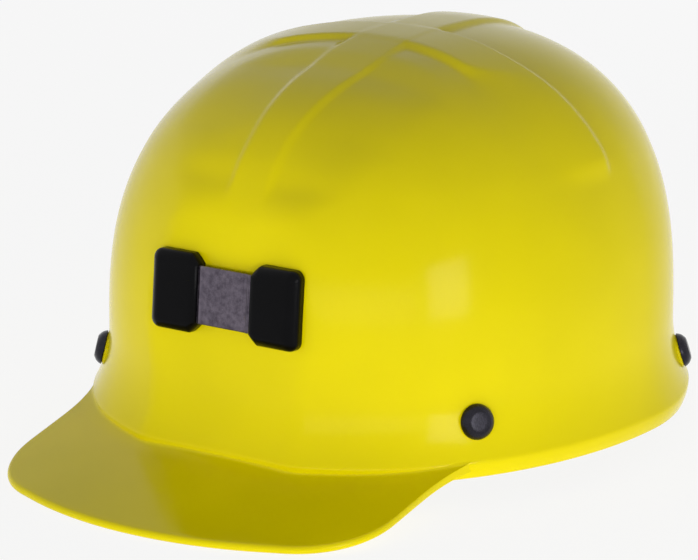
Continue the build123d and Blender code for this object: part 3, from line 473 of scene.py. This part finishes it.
def capSurface(angle, footLevels, crownShares):
    # rows of the outer face, from the rim up: upright wall with its flare, then
    # z = wall + rise (sin turn)^(2/c), plan shrunk by (cos turn)^(2/c), plus the ridges
    x, y, across, along = planRing(angle[None, :])
    level = footLevels[:, None]
    out = flare(level)
    foot = joined(x + out * across, y + out * along, level)
    turn = crownShares[:, None] * math.pi / 2
    endCurve = np.where(np.sin(angle) < 0, shell["frontCurve"], shell["rearCurve"])[None, :]
    curve = shell["sideCurve"] + (endCurve - shell["sideCurve"]) * np.sin(angle)[None, :] ** 2
    rise = np.sin(turn) ** (2 / curve)
    shrink = np.cos(turn) ** (2 / curve)
    high = shell["crownHeight"] - shell["wallHeight"]
    crown = joined(x * shrink, y * shrink + shell["crownBack"] * rise ** 2,
                   shell["wallHeight"] + high * rise)
    dome = np.concatenate([foot, crown], axis=0)
    px, py, pz = np.moveaxis(dome, -1, 0)
    normal = unit(joined(px / shell["halfWidth"] ** 2, py / shell["frontReach"] ** 2,
                         np.maximum(pz - shell["wallHeight"], 0) / high ** 2))
    tall = ridges["height"] * smoothStep(py, *ridges["frontStart"])
    tall = tall + (ridges["rearHeight"] - ridges["height"]) * smoothStep(py, *ridges["rearStart"])
    middle = tall * bandShape(np.abs(px) - ridges["halfWidth"], ridges["shoulder"])
    behind = py - smoothCurve(np.abs(px), ridges["backX"], ridges["backY"])
    merge = smoothStep(np.abs(px), *ridges["mergeX"])
    width = ridges["width"] * (1 - ridges["mergeNarrow"] * merge)
    fore = bandShape(-behind - width, ridges["shoulder"] * (1 + ridges["mergeSoft"] * merge))
    sideBand = ridges["height"] * np.where(behind > 0, bandShape(behind, ridges["shoulder"]), fore)
    lift = softMax(middle, sideBand, ridges["crossEase"]) * smoothStep(pz, ridges["lowEnd"], ridges["full"])
    return shapeFront(dome) + normal * lift[..., None]


def surfaceNormals(points):
    # normals of a closed grid from its neighbours, rows up and columns round
    sideways = np.roll(points, -1, axis=1) - np.roll(points, 1, axis=1)
    return unit(np.cross(sideways, np.gradient(points, axis=0)))


brim = {
    "reach": 176.5,
    "thickness": 2.8,
    "rootTop": 4.9,
    "fall": 11.3,  # degrees
    "crownRadius": 640.0,
    "side": 78.2,  # half width, straight from sideRear to sideFront
    "sideFront": 130.0,
    "sideRear": 110.0,
    "cornerX": 53.0,
    "cornerY": 165.0,
    "joinX": 93.0,
    "joinY": 62.0,
    "rootInset": 1.4,  # the root lies this deep in the wall
    "rootStart": 5.0,  # first guess of its height, then the least and the most
    "rootLevels": (2.5, 12.0),
    "rootFade": (2.0, 14.0),  # no round where the brim is this narrow
    "rootSlope": 1.9,  # steepness of the wall's foot
    "rootEase": 0.8,  # small round between the brim and the wall
    "rootSwell": 0.6,  # gentle rise towards the wall
    "rootSwellWidth": 6.0,
    "nearRows": (0, 0.6, 1.2, 1.8, 2.4, 3.2, 4.2, 5.5),  # mm from the root
    "farRows": 26,
    "shortest": 16,  # rows close up where the brim is narrower than this
    "edgeRows": 11,
    "edgeTurn": 75,  # degrees up and down from the edge's middle
    "stations": 260,
    "drawn": 1200,  # points that the edge is smoothed on
    "smoothing": 45,
}


def brimTop(x, y):
    # arched band that falls forward: z = root - (y - wall) tan(fall) - (R - sqrt(R^2 - x^2)), y forward
    sag = brim["crownRadius"] - np.sqrt(brim["crownRadius"] ** 2 - x * x)
    return brim["rootTop"] - (y - shell["panelReach"]) * math.tan(math.radians(brim["fall"])) - sag


def arcPoints(start, end, tangent, count):
    # arc from start to end that leaves start along the tangent, of length 1
    start, end, tangent = (np.array(v, float) for v in (start, end, tangent))
    chord = end - start
    normal = np.array([-tangent[1], tangent[0]])
    radius = chord @ chord / (2 * (chord @ normal))
    sweep = 2 * math.atan2(tangent[0] * chord[1] - tangent[1] * chord[0], tangent @ chord)
    turn = np.linspace(0, sweep, count)[:, None]
    centre = start + normal * radius
    return centre + (start - centre) * np.cos(turn) + (tangent * radius) * np.sin(turn)


def lengthAlong(points):
    return np.concatenate([[0], np.cumsum(np.linalg.norm(np.diff(points, axis=0), axis=1))])


def resample(points, count):
    # evenly spaced points along a line
    length = lengthAlong(points)
    at = np.linspace(0, length[-1], count)
    return joined(*(np.interp(at, length, values) for values in points.T))


def brimOutline():
    # half the edge in plan, y forward, from the join on the lip to the tip, then mirrored
    corner = (brim["cornerX"], brim["cornerY"])
    side = (brim["side"], brim["sideFront"])
    back = (brim["side"], brim["sideRear"])
    rise = brim["reach"] - brim["cornerY"]
    radius = (brim["cornerX"] ** 2 + rise ** 2) / (2 * rise)
    sweep = np.linspace(math.asin(brim["cornerX"] / radius), 0, 50)
    tip = joined(radius * np.sin(sweep), brim["reach"] - radius + radius * np.cos(sweep))
    cornerLine = arcPoints(side, corner, (0, 1), 30)
    hollow = arcPoints(back, (brim["joinX"], brim["joinY"]), (0, -1), 30)[::-1]
    half = np.concatenate([hollow, np.linspace(back, side, 12)[1:], cornerLine[1:], tip[1:]])
    whole = np.concatenate([half, half[-2::-1] * (-1, 1)])
    fine = resample(whole, brim["drawn"])
    kernel = np.hanning(brim["smoothing"])
    kernel /= kernel.sum()
    ends = brim["smoothing"] // 2
    padded = np.pad(fine, ((ends, ends), (0, 0)), mode="reflect", reflect_type="odd")
    smooth = joined(*(np.convolve(values, kernel, mode="valid") for values in padded.T))
    return resample(smooth, brim["stations"])


def brimRoot():
    # line inside the wall that the brim grows from, at the level of the brim's top
    join = math.asin((brim["joinY"] / shell["frontReach"]) ** (shell["frontPlan"] / 2))
    angle = np.linspace(-join, -math.pi + join, brim["drawn"])
    x, y, across, along = planRing(angle)
    level = np.full(angle.shape, brim["rootStart"])
    for _ in range(4):  # each pass brings the line closer to where brim and wall meet
        out = flare(level)
        ring = shapeFront(joined(x + out * across, y + out * along, level))
        level = np.clip(brimTop(ring[:, 0], -ring[:, 1]), *brim["rootLevels"])
    inset = ring[:, :2] - brim["rootInset"] * joined(across, along)
    line = resample(inset * (1, -1), brim["stations"])
    step = np.gradient(line, axis=0)
    outward = unit(joined(-step[:, 1], step[:, 0]))
    middle = (0, 40)
    outward = outward * np.sign(np.sum(outward * (line - middle), axis=1))[:, None]
    return line, outward


def brimSurface():
    # closed loops round the brim's section: top from wall to edge, round edge, underside back
    edge = brimOutline()
    root, outward = brimRoot()
    rim = brim["thickness"] / 2
    ray = edge - root
    length = np.maximum(np.linalg.norm(ray, axis=1), 0.01)
    inner = np.clip(1 - rim / length, 0.2, 1)[:, None]
    near = np.array(brim["nearRows"]) / np.maximum(length, brim["shortest"])[:, None]
    far = np.linspace(0, 1, brim["farRows"])[None, :]
    start = near[:, -1:]
    share = np.concatenate([near[:, :-1], start + (1 - start) * far], axis=1) * inner
    top = root[:, None, :] + ray[:, None, :] * share[..., None]
    away = np.sum((top - root[:, None, :]) * outward[:, None, :], axis=-1) - brim["rootInset"]
    gap = np.maximum(brim["rootEase"] - np.maximum(away, -brim["rootEase"]), 0)
    swell = np.clip(1 - away / brim["rootSwellWidth"], 0, 1)
    lift = brim["rootSlope"] * gap ** 2 / (4 * brim["rootEase"]) + brim["rootSwell"] * swell ** 2
    lift = lift * smoothStep(length, *brim["rootFade"])[:, None]
    topZ = brimTop(top[..., 0], top[..., 1]) + lift
    turn = np.radians(np.linspace(brim["edgeTurn"], -brim["edgeTurn"], brim["edgeRows"]))[None, :]
    push = (inner + (1 - inner) * np.cos(turn))[..., None]
    nose = root[:, None, :] + ray[:, None, :] * push
    noseZ = brimTop(nose[..., 0], nose[..., 1]) - rim + rim * np.sin(turn)
    low = top[:, ::-1]
    lowZ = brimTop(low[..., 0], low[..., 1]) - brim["thickness"]
    plan = np.concatenate([top, nose, low], axis=1)
    height = np.concatenate([topZ, noseZ, lowZ], axis=1)
    return joined(plan[..., 0], -plan[..., 1], height)


def rivetSeat(y, level, side):
    # place and axes on the outer wall at y and level; side is 1 on the wearer's left
    reach = shell["frontReach"] if y < 0 else shell["rearReach"]
    power = shell["frontPlan"] if y < 0 else shell["rearPlan"]
    angle = math.copysign(math.asin((abs(y) / reach) ** (power / 2)), y)
    x, yy, across, along = (float(v) for v in planRing(np.array(angle)))
    out = float(flare(np.array(level)))
    coveRise = shell["wallHeight"] - shell["lipTop"]
    slope = 2 * shell["lip"] * max(0, 1 - (level - shell["lipTop"]) / coveRise) / coveRise
    axis = unit(np.array([side * across, along, slope]))
    sideways = unit(np.array([-along, side * across, 0]))
    origin = np.array([side * (x + out * across), yy + out * along, level])
    return origin, sideways, np.cross(axis, sideways), axis


def lathe(profile, seat, count, start=0):
    # profile of (radius, height) turned about the seat's axis; a radius of 0 closes it
    origin, right, up, axis = seat
    profile = np.array(profile, float)
    turn = np.linspace(0, 2 * math.pi, count, endpoint=False)
    ring = np.cos(turn)[:, None] * right + np.sin(turn)[:, None] * up
    body = profile[1:-1]
    points = origin + body[:, 0, None, None] * ring + body[:, 1, None, None] * axis
    ends = origin + profile[[0, -1], 1][:, None] * axis
    return np.concatenate([points.reshape(-1, 3), ends]), spunFaces(len(body), count, start)


rivetLevels = {"front": (-79.5, 19.3), "rear": (42.5, 15.5)}  # y and height
rivetSpots = {}
for end, (y, level) in rivetLevels.items():
    for name, side in (("left", 1), ("right", -1)):
        rivetSpots[end + "_" + name] = rivetSeat(y, level, side)
# round seats for the rivets, outside and inside the wall, as (radius, height)
seatProfiles = (
    [(0, 0.8), (5.4, 0.8), (5.9, 0.65), (6.1, 0.3), (6.1, -1.4), (0, -1.4)],
    [(0, -1.2), (7.2, -1.2), (7.2, -3.5), (7.0, -3.75), (6.6, -3.8), (0, -3.8)],
)


def wallMesh():
    # one closed skin: down the inner face, round the rim, up the outer face
    angle = np.linspace(0, 2 * math.pi, shell["across"], endpoint=False)
    foot = np.array(shell["footLevels"])
    u = np.linspace(0, 1, shell["crownRows"] + 1)[1:-1]
    crowded = u ** shell["crownCrowding"]
    outer = capSurface(angle, foot, crowded / (crowded + (1 - u) ** shell["crownCrowding"]))
    normals = surfaceNormals(outer)
    top = np.array([[0, shell["crownBack"], outer[-1, :, 2].mean() + shell["hubTip"]]])
    crownPick = np.linspace(len(foot), len(outer) - 1, shell["innerRows"]).astype(int)
    pick = np.concatenate([np.arange(0, len(foot), 2), crownPick])  # the inner face has fewer rows
    inner = outer[pick] - normals[pick] * shell["wall"]
    inner[0, :, 2] = foot[0]
    corner = shell["rimRound"] * (inner[0] - outer[0])
    rim = [(inner[0] - corner) * (1, 1, 0), (outer[0] + corner) * (1, 1, 0)]
    stack = np.concatenate([inner[::-1], rim, outer])
    points = np.concatenate([stack.reshape(-1, 3), top - (0, 0, shell["wall"]), top])
    return points, spunFaces(*stack.shape[:2])


def brimMesh(start):
    loops = brimSurface()
    return loops.reshape(-1, 3), tubeFaces(*loops.shape[:2], start, flip=True)


def makeShell():
    points, faces = wallMesh()
    more, moreFaces = brimMesh(len(points))
    points = np.concatenate([points, more])
    faces += moreFaces
    for seat in rivetSpots.values():
        for profile in seatProfiles:
            more, moreFaces = lathe(profile, seat, 48, len(points))
            points = np.concatenate([points, more])
            faces += [f[:, ::-1] for f in moreFaces]
    return makePiece("cap_shell", toFrame(points), faces, plastic, ["shell"])


capShell = makeShell()
print("shell made, faces:", len(capShell.data.polygons))

bracket = {
    "level": 59.5,
    "inner": 11.0,  # a block lies between these, measured from the middle
    "outer": 30.8,
    "height": 28.5,
    "depth": 5.8,
    "pocket": 2.9,
    "plateHeight": 20.8,
    "plateTail": 8.0,
    "plateThickness": 1.0,
    "plateGap": 0.3,
    "plateRound": 0.45,
    "bead": 0.45,  # rolled up near the blocks
    "beadAt": 10.1,
    "beadWidth": 0.42,
    # corners of a block as size and shape; a shape of 2 is round and of 1 a straight cut
    "outerCorner": (3.4, 2),
    "innerCut": (3.6, 1.15),
    "cornerShrink": 0.7,  # share of the inset that a corner loses, down to the least
    "leastCorner": 0.25,
    # bevel of a block: how far in from its side, how high above the panel
    "bevel": ((0, 0), (0, 2.6), (0.1, 3.2), (0.45, 3.9), (1.1, 4.55), (1.8, 5.1), (2.5, 5.5), (3.2, 5.72),
              (4.2, 5.8)),
    "bevelEased": 0.72,  # share of the bevel that the side towards the plate lacks
    "crowning": 0.105,  # rise of its face in the middle
}
leanAngle = math.radians(shell["panelLean"])
panelSeat = (
    np.array([0, -shell["panelReach"] + (bracket["level"] - shell["wallHeight"]) * math.tan(leanAngle),
              bracket["level"]]),
    np.array([1.0, 0, 0]),
    np.array([0, math.sin(leanAngle), math.cos(leanAngle)]),
    np.array([0, -math.cos(leanAngle), math.sin(leanAngle)]),
)


def onPanel(x, y, out):
    # panel coordinates to the cap's: x to the left, y up the panel, out from it
    origin, right, up, away = panelSeat
    return origin + x[..., None] * right + y[..., None] * up + out[..., None] * away


def cornerOutline(halfWidth, halfHeight, corners, inset):
    # rectangle drawn in by the inset, with superellipse quarters at the corners
    turn = np.linspace(0, math.pi / 2, 10)
    quarters = []
    for (sx, sy), (full, shape) in zip(((1, 1), (-1, 1), (-1, -1), (1, -1)), corners):
        size = max(full - inset * bracket["cornerShrink"], bracket["leastCorner"])
        c, s = np.cos(turn) ** (2 / shape), np.sin(turn) ** (2 / shape)
        if sx * sy < 0:
            c, s = c[::-1], s[::-1]
        cx = halfWidth - inset - size
        cy = halfHeight - inset - size
        quarters.append(joined(sx * (cx + size * c), sy * (cy + size * s)))
    return np.concatenate(quarters)


def makeBlock(side, name):
    # the outline repeated up the bevel and closed by a flat face; side is 1 on the wearer's left
    halfWidth = (bracket["outer"] - bracket["inner"]) / 2
    middle = side * (bracket["outer"] + bracket["inner"]) / 2
    left, right = (bracket["outerCorner"], bracket["innerCut"])[::side]
    corners = (left, right, right, left)
    rings = []
    for inset, height in bracket["bevel"]:
        ring = cornerOutline(halfWidth, bracket["height"] / 2, corners, inset)
        # the bevel is full on the outer side and slight towards the plate
        inward = np.clip(1 - ring[:, 0] * side / halfWidth, 0, 2) / 2
        x = ring[:, 0] - side * inset * bracket["bevelEased"] * smoothStep(inward, 0.6, 1.0)
        dome = bracket["crowning"] * (1 - (ring[:, 0] / halfWidth) ** 2) * (height / bracket["depth"])
        rings.append(onPanel(middle + x, ring[:, 1], height + dome))
    points, faces = np.concatenate(rings), tubeFaces(len(rings), len(ring))
    makePiece(name + "Cover", toFrame(points), faces, blockBlack, [name])


makeBlock(1, "lamp_block_left")
makeBlock(-1, "lamp_block_right")


def slab(top, bottom):
    # two grids of the same shape, closed by quads round their borders; top faces out
    rows, columns = top.shape[:2]
    points = np.concatenate([top.reshape(-1, 3), bottom.reshape(-1, 3)])
    size = rows * columns
    numbers = np.arange(size).reshape(rows, columns)
    border = np.concatenate([numbers[0, :-1], numbers[:-1, -1], numbers[-1, :0:-1], numbers[:0:-1, 0]])
    ahead = np.roll(border, -1)
    sides = joined(ahead, border, border + size, ahead + size)
    under = gridFaces(rows, columns, False, size, flip=True)
    return points, [gridFaces(rows, columns, False), under, sides]


def makePlate():
    # face rises to a rolled bead near its two upright edges and rounds off at top and bottom
    half = bracket["inner"] + bracket["plateTail"] - bracket["plateGap"]
    tall = bracket["plateHeight"] / 2
    beads = np.linspace(8.8, 11.2, 17)  # close columns at the beads, close rows at top and bottom
    tails = np.linspace(11.6, half, 4)
    across = np.concatenate([-tails[::-1], -beads[::-1], np.linspace(-8.3, 8.3, 24), beads, tails])
    ends = tall - np.array([0.6, 0.35, 0.15, 0.05, 0])
    up = np.concatenate([-ends[::-1], np.linspace(-tall + 1, tall - 1, 14), ends])
    x, y = np.meshgrid(across, up)
    edge = np.clip((tall - np.abs(y)) / 0.5, 0, 1)
    rounding = bracket["plateRound"] * (1 - np.sqrt(1 - (1 - edge) ** 2))
    bead = bracket["bead"] * np.exp(-((np.abs(x) - bracket["beadAt"]) / bracket["beadWidth"]) ** 2)
    high = bracket["pocket"] + bracket["plateThickness"] + bead - rounding
    low = np.full_like(high, bracket["pocket"])
    points, faces = slab(onPanel(x, y, high), onPanel(x, y, low))
    makePiece("lamp_plateCover", toFrame(points), faces, plateSteel, ["lamp_plate"])


makePlate()
print("bracket made")

# flat face, broad rounded shoulder; then the shank and the upset end inside, as (radius, height)
rivetProfile = [
    (0, 4.0), (2.0, 4.0), (3.4, 3.97), (3.85, 3.88), (4.15, 3.72), (4.6, 3.4), (5.2, 2.95), (5.7, 2.4),
    (6.05, 1.8), (6.3, 1.2), (6.35, 0.9), (6.3, 0.8), (2.4, 0.8), (2.4, -6.7), (4.2, -6.7), (4.2, -7.5),
    (3.9, -7.85), (3.0, -7.9), (0, -7.9),
]
for name, seat in rivetSpots.items():
    points, faces = lathe(rivetProfile, seat, 72)
    makePiece("rivet_" + name + "Cover", toFrame(points), [f[:, ::-1] for f in faces], rivetBlack,
              ["rivet_" + name])
print("rivets made")

strap = {
    "width": 19.0,
    "thickness": 1.6,
    "top": 97.0,
    "shoulder": 68.0,
    "bend": 38.0,
    "shoulderIn": 10.5,
    "slopeIn": 42.0,
    "overlap": 5.0,  # length below the hanger's middle
    "hangerUp": 12.0,
    "washerFace": -5.8,  # from the wall's outer face
    "gap": 0.3,
    "edgePower": 14,  # long edges are a superellipse
    "edgeHalf": 0.02,  # half thickness that they keep
    "rib": 0.08,
    "step": 1.5,  # between rows of points
}


def roundedPath(corners, radius):
    # runs joined by arcs of one radius, as evenly spaced points
    parts = [corners[:1]]
    for before, here, after in zip(corners[:-2], corners[1:-1], corners[2:]):
        a, b = unit(before - here), unit(after - here)
        half = math.acos(float(np.clip(a @ b, -1, 1))) / 2
        back = radius / math.tan(half)
        centre = here + unit(a + b) * radius / math.sin(half)
        sweep = np.linspace(0, 1, 24)[:, None]
        first, last = here + a * back - centre, here + b * back - centre
        angle = math.pi - 2 * half
        arc = (first * np.sin((1 - sweep) * angle) + last * np.sin(sweep * angle)) / math.sin(angle)
        parts.append(centre + arc)
    parts.append(corners[-1:])
    line = np.concatenate(parts)
    return resample(line, int(lengthAlong(line)[-1] / strap["step"]))


def strapGrid(line, widthDir, outDir):
    # flat ribbon along a line: rounded long edges, both faces as grids
    half = np.array([0.2, 0.4, 0.6, 0.8, 0.9, 0.95, 0.985, 1])
    v = np.concatenate([-half[::-1], [0], half])
    edge = np.sqrt(np.clip(1 - np.abs(v) ** strap["edgePower"], 0, 1))
    swell = 0.5 * strap["thickness"] * edge + strap["edgeHalf"]
    thick = outDir[:, None, :] * (swell + strap["rib"] * np.cos(v * math.pi * 2))[None, :, None]
    across = v * strap["width"] / 2
    middle = line[:, None, :] + widthDir * across[None, :, None]
    uv = joined(lengthAlong(line)[:, None] * mm, across * mm)
    return middle + thick, middle - thick, np.concatenate([uv.reshape(-1, 2)] * 2)


def makeStrap(name, frontSeat, rearSeat, lift):
    # from one hanger up over the head and down to the hanger across it
    diagonal = unit((rearSeat[0] - frontSeat[0]) * (1, 1, 0))
    feet = []
    for seat, toward in ((frontSeat, diagonal), (rearSeat, -diagonal)):
        origin, _, up, axis = seat
        levelIn = unit(-axis * (1, 1, 0))
        turned = np.linalg.norm(np.cross(levelIn, toward))
        depth = strap["washerFace"] - strap["gap"] - strap["thickness"] / 2 - turned * strap["width"] / 2
        feet.append(origin + axis * depth + up * strap["hangerUp"])
    frontFoot, rearFoot = feet
    along = (rearFoot - frontFoot) * (1, 1, 0)
    length = float(np.linalg.norm(along))
    along = along / length
    upright = np.array([0, 0, 1.0])
    top = strap["top"] + lift
    runs = []
    for foot in feet:
        lean = strap["shoulderIn"] / (strap["shoulder"] - foot[2])
        runs.append((-strap["overlap"] * lean, foot[2] - strap["overlap"]))
    corners = np.array([runs[0], (strap["shoulderIn"], strap["shoulder"]), (strap["slopeIn"], top),
                        (length - strap["slopeIn"], top), (length - strap["shoulderIn"], strap["shoulder"]),
                        (length - runs[1][0], runs[1][1])])
    flat = roundedPath(corners, strap["bend"])
    line = frontFoot * (1, 1, 0) + flat[:, :1] * along + flat[:, 1:] * upright
    tangent = unit(np.gradient(line, axis=0))
    widthDir = np.cross(along, upright)
    outDir = unit(np.cross(widthDir, tangent))
    if outDir[len(outDir) // 2] @ upright < 0:
        outDir, widthDir = -outDir, -widthDir
    topGrid, bottomGrid, uv = strapGrid(line, widthDir, outDir)
    points, faces = slab(topGrid, bottomGrid)
    makePiece(name + "Cover", toFrame(points), faces, webbing, [name], uv=uv)


makeStrap("crown_strap_lower", rivetSpots["front_left"], rivetSpots["rear_right"], 0)
makeStrap("crown_strap_upper", rivetSpots["front_right"], rivetSpots["rear_left"], 1.9)
print("straps made")

sweatband = {
    "bandHalf": 76.8,  # the headband's front ellipse
    "bandFront": 92.0,
    "bandMiddle": -20.0,
    "bandThickness": 1.8,
    "gap": 0.3,
    "half": 50.0,
    "thickness": 3.2,
    "low": 4.5,
    "tall": 26.0,
    "hem": 0.16,  # share of its half height and half length over which it swells
    "edge": 0.7,  # thickness at the hem
    "clear": 0.05,
    "offBand": 0.04,
    "stitch": 0.5,
    "stitchAt": 0.8,
    "stitchWidth": 0.03,
    "wave": 0.12,
    "thinnest": 0.35,
}


def fullness(place, seam):
    # 0 at a pad's edge (place 1 or -1), 1 further in than the seam: 1 - (1 - (1 - |place|) / seam)^2.6
    return 1 - (1 - np.clip((1 - np.abs(place)) / seam, 0, 1)) ** 2.6


def makeSweatband():
    # strip along the headband's front ellipse x = a sin t, y = middle - b cos t, puffed between a stitched
    # hem above and below
    inset = sweatband["bandThickness"] + sweatband["gap"]
    half = sweatband["bandHalf"] - inset
    deep = sweatband["bandFront"] - inset
    end = math.asin(sweatband["half"] / half)
    turn = np.linspace(-end, end, 140)
    v = np.concatenate([[-1, -0.985, -0.95, -0.9], np.linspace(-0.84, 0.84, 25), [0.9, 0.95, 0.985, 1]])
    u = turn / end
    base = joined(half * np.sin(turn), sweatband["bandMiddle"] - deep * np.cos(turn), 0)
    inward = -unit(joined(np.sin(turn) / half, -np.cos(turn) / deep, 0))
    uu, vv = np.meshgrid(u, v, indexing="ij")
    full = np.minimum(fullness(vv, sweatband["hem"]), fullness(uu, sweatband["hem"]))
    past = (np.abs(vv) - sweatband["stitchAt"]) / sweatband["stitchWidth"]
    stitch = sweatband["stitch"] * np.exp(-past ** 2)
    wave = sweatband["wave"] * np.sin(uu * 61) * np.cos(vv * 3)
    swell = sweatband["thickness"] - sweatband["edge"] - sweatband["clear"] + wave
    thick = sweatband["edge"] + swell * full - stitch
    thick = np.clip(thick, sweatband["thinnest"], sweatband["thickness"])
    level = sweatband["low"] + (vv + 1) / 2 * sweatband["tall"]
    outer = base[:, None, :] + np.array([0, 0, 1.0]) * level[..., None]
    innerFace = outer + inward[:, None, :] * thick[..., None]
    outer = outer + inward[:, None, :] * sweatband["offBand"]
    points, faces = slab(innerFace, outer)
    piece = makePiece("sweatbandCover", toFrame(points), [f[:, ::-1] for f in faces], browFabric,
                      ["sweatband"])


napePad = {
    "y": 67.4,
    "thickness": 4.6,
    "half": 23.0,
    "tall": 25.0,
    "level": 18.0,
    "corner": 0.45,  # shares of its half width and height at which the outline starts to draw in
    "drawX": 0.06,
    "drawZ": 0.1,
    "channel": 0.9,
    "channelAt": 8.5,
    "channelWidth": 0.9,
    "edge": 0.8,
    "clear": 0.05,
    "thinnest": 0.5,
}


def makeNapePad():
    # rounded pad on the ratchet housing, crowned towards the neck, with two sewn channels:
    # fullness (1 - |u|^7)^(1/2) (1 - |v|^5)^(1/2)
    u = np.sin(np.linspace(-math.pi / 2, math.pi / 2, 70))
    v = np.sin(np.linspace(-math.pi / 2, math.pi / 2, 46))
    uu, vv = np.meshgrid(u, v, indexing="ij")
    corner = napePad["corner"]
    pastX, pastZ = (np.maximum(np.abs(share) - corner, 0) / (1 - corner) for share in (uu, vv))
    x = uu * napePad["half"] * (1 - napePad["drawX"] * pastZ ** 2)
    z = vv * napePad["tall"] / 2 * (1 - napePad["drawZ"] * pastX ** 2)
    full = (1 - np.abs(uu) ** 7) ** 0.5 * (1 - np.abs(vv) ** 5) ** 0.5
    channel = np.exp(-((np.abs(x) - napePad["channelAt"]) / napePad["channelWidth"]) ** 2)
    channel = napePad["channel"] * channel * (1 - np.abs(vv) ** 6)
    swell = napePad["thickness"] - napePad["edge"] - napePad["clear"] - channel
    thick = np.clip(napePad["edge"] + swell * full, napePad["thinnest"], napePad["thickness"])
    y = napePad["y"] + napePad["thickness"] - napePad["clear"]
    z = napePad["level"] + z
    points, faces = slab(joined(x, y - thick, z), joined(x, y, z))
    piece = makePiece("nape_padCover", toFrame(points), faces, padFabric, ["nape_pad"])


makeSweatband()
makeNapePad()
print("pads made")

# CAD pieces shown as they are
kept = [
    (brightSteel, ("bracket_backing_plate", "bracket_screws", "rivet_washers", "cover_screws",
                   "detent_spring")),
    (nylonBlack, ("hanger_front_left", "hanger_front_right", "hanger_rear_left", "hanger_rear_right",
                  "headband_studs")),
    (bandPlastic, ("headband", "rack_left", "rack_right")),
    (ratchetPlastic, ("ratchet_housing", "ratchet_cover", "ratchet_knob", "ratchet_pinion")),
    (blockBlack, ("cord_clip",)),
    (rivetBlack, ("cord_clip_rivet",)),
]
for material, names in kept:
    for name in names:
        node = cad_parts[name]
        node.data.materials.clear()
        node.data.materials.append(material)

# Studio and lamps, in metres
studio = {
    "floorHalf": 6.0,
    "floorDrop": 0.0006,
    "paper": 0.86,
    "floorWhite": 0.88,  # share of plain white where the floor is seen, the rest keeps the shadow
    "ambient": 0.23,  # light from all around
}


def mixWhite(tree, kind, shaded, white, share):
    # the shaded look for diffuse light; plain white where it is seen, mirrored or refracted
    path = addNode(tree, "LightPath")
    seen = addMath(tree, "MAXIMUM", (path, "Is Camera Ray"), (path, "Is Glossy Ray"))
    seen = addMath(tree, "MAXIMUM", seen, (path, "Is Transmission Ray"))
    part = addMath(tree, "MULTIPLY", seen, share)
    mix = addNode(tree, "MixShader", in0=part, in1=(shaded, 0), in2=(white, 0))
    addNode(tree, kind, Surface=(mix, 0))


def makeFloor():
    half, level = studio["floorHalf"], -studio["floorDrop"]
    mesh = bpy.data.meshes.new("floor")
    corners = [(-half, -half, level), (half, -half, level), (half, half, level), (-half, half, level)]
    mesh.from_pydata(corners, [], [(0, 1, 2, 3)])
    floor = addObject("floor", mesh)
    material, tree, _ = startMaterial("paperWhite")
    paper = addNode(tree, "BsdfDiffuse", Color=(studio["paper"],) * 3 + (1,))
    glow = addNode(tree, "Emission", Color=(1, 1, 1, 1), Strength=1.0)
    mixWhite(tree, "OutputMaterial", paper, glow, studio["floorWhite"])
    mesh.materials.append(material)


def makeWorld():
    world = bpy.data.worlds.new("studio")
    bpy.context.scene.world = world
    world.use_nodes = True
    tree = world.node_tree
    tree.nodes.clear()
    ambient = addNode(tree, "Background", Color=(1, 1, 1, 1), Strength=studio["ambient"])
    white = addNode(tree, "Background", Color=(1, 1, 1, 1), Strength=1.0)
    mixWhite(tree, "OutputWorld", ambient, white, 1.0)


# bearing from the front towards the wearer's left, height angle, distance, width, height, watts, mirrored
lamps = {
    "key": (28, 3, 1.9, 1.9, 0.6, 20.5, False),
    "fill": (-60, 3, 1.7, 0.7, 0.5, 7, False),
    "strip": (68, 5, 1.6, 0.5, 0.7, 5.5, True),
    "back": (180, 8, 1.9, 1.6, 0.6, 18, False),
}
lampTarget = (0, 0, 0.07)
# light that a white table throws back up, just above the floor
tableGlow = {"place": (0.05, -0.25, -0.0003), "size": 1.6, "watts": 6.0}


def addLamp(name, place, away, wide, tall, watts, mirrored):
    # flat lamp that shines against the away direction
    data = bpy.data.lights.new(name, "AREA")
    data.shape = "RECTANGLE"
    data.size = wide
    data.size_y = tall
    data.energy = watts
    lamp = addObject(name, data)
    lamp.location = place
    lamp.visible_glossy = mirrored
    lamp.rotation_mode = "QUATERNION"
    lamp.rotation_quaternion = away.to_track_quat("Z", "Y")
    return lamp


def makeLamps():
    for name, (bearing, height, distance, wide, tall, watts, mirrored) in lamps.items():
        a, e = math.radians(bearing), math.radians(height)
        away = Vector((math.sin(a) * math.cos(e), -math.cos(a) * math.cos(e), math.sin(e)))
        addLamp(name, Vector(lampTarget) + away * distance, away, wide, tall, watts, mirrored)
    size = tableGlow["size"]
    table = addLamp("table", tableGlow["place"], Vector((0, 0, -1)), size, size, tableGlow["watts"], False)
    table.visible_camera = False


# fitted to the photograph, in mm
cameraSeat = {
    "place": (790.544, -1201.703, 469.014),
    "back": (0.53055268, -0.80147739, 0.275949),
    "right": (0.8338507, 0.5519900, 0.0),
    "lens": 211.14,
}


def makeCamera():
    data = bpy.data.cameras.new("camera")
    data.lens = cameraSeat["lens"]
    data.sensor_width = 36
    data.sensor_fit = "HORIZONTAL"
    data.clip_start = 0.05
    data.clip_end = 50
    camera = addObject("camera", data)
    back = Vector(cameraSeat["back"]).normalized()
    right = Vector(cameraSeat["right"]).normalized()
    up = back.cross(right)
    turned = Matrix((right, up, back)).transposed().to_4x4()
    turned.translation = Vector(cameraSeat["place"]) * mm
    camera.matrix_world = turned
    bpy.context.scene.camera = camera


makeFloor()
makeWorld()
makeLamps()
makeCamera()
bpy.context.scene.view_settings.view_transform = "Standard"
print("stage made")
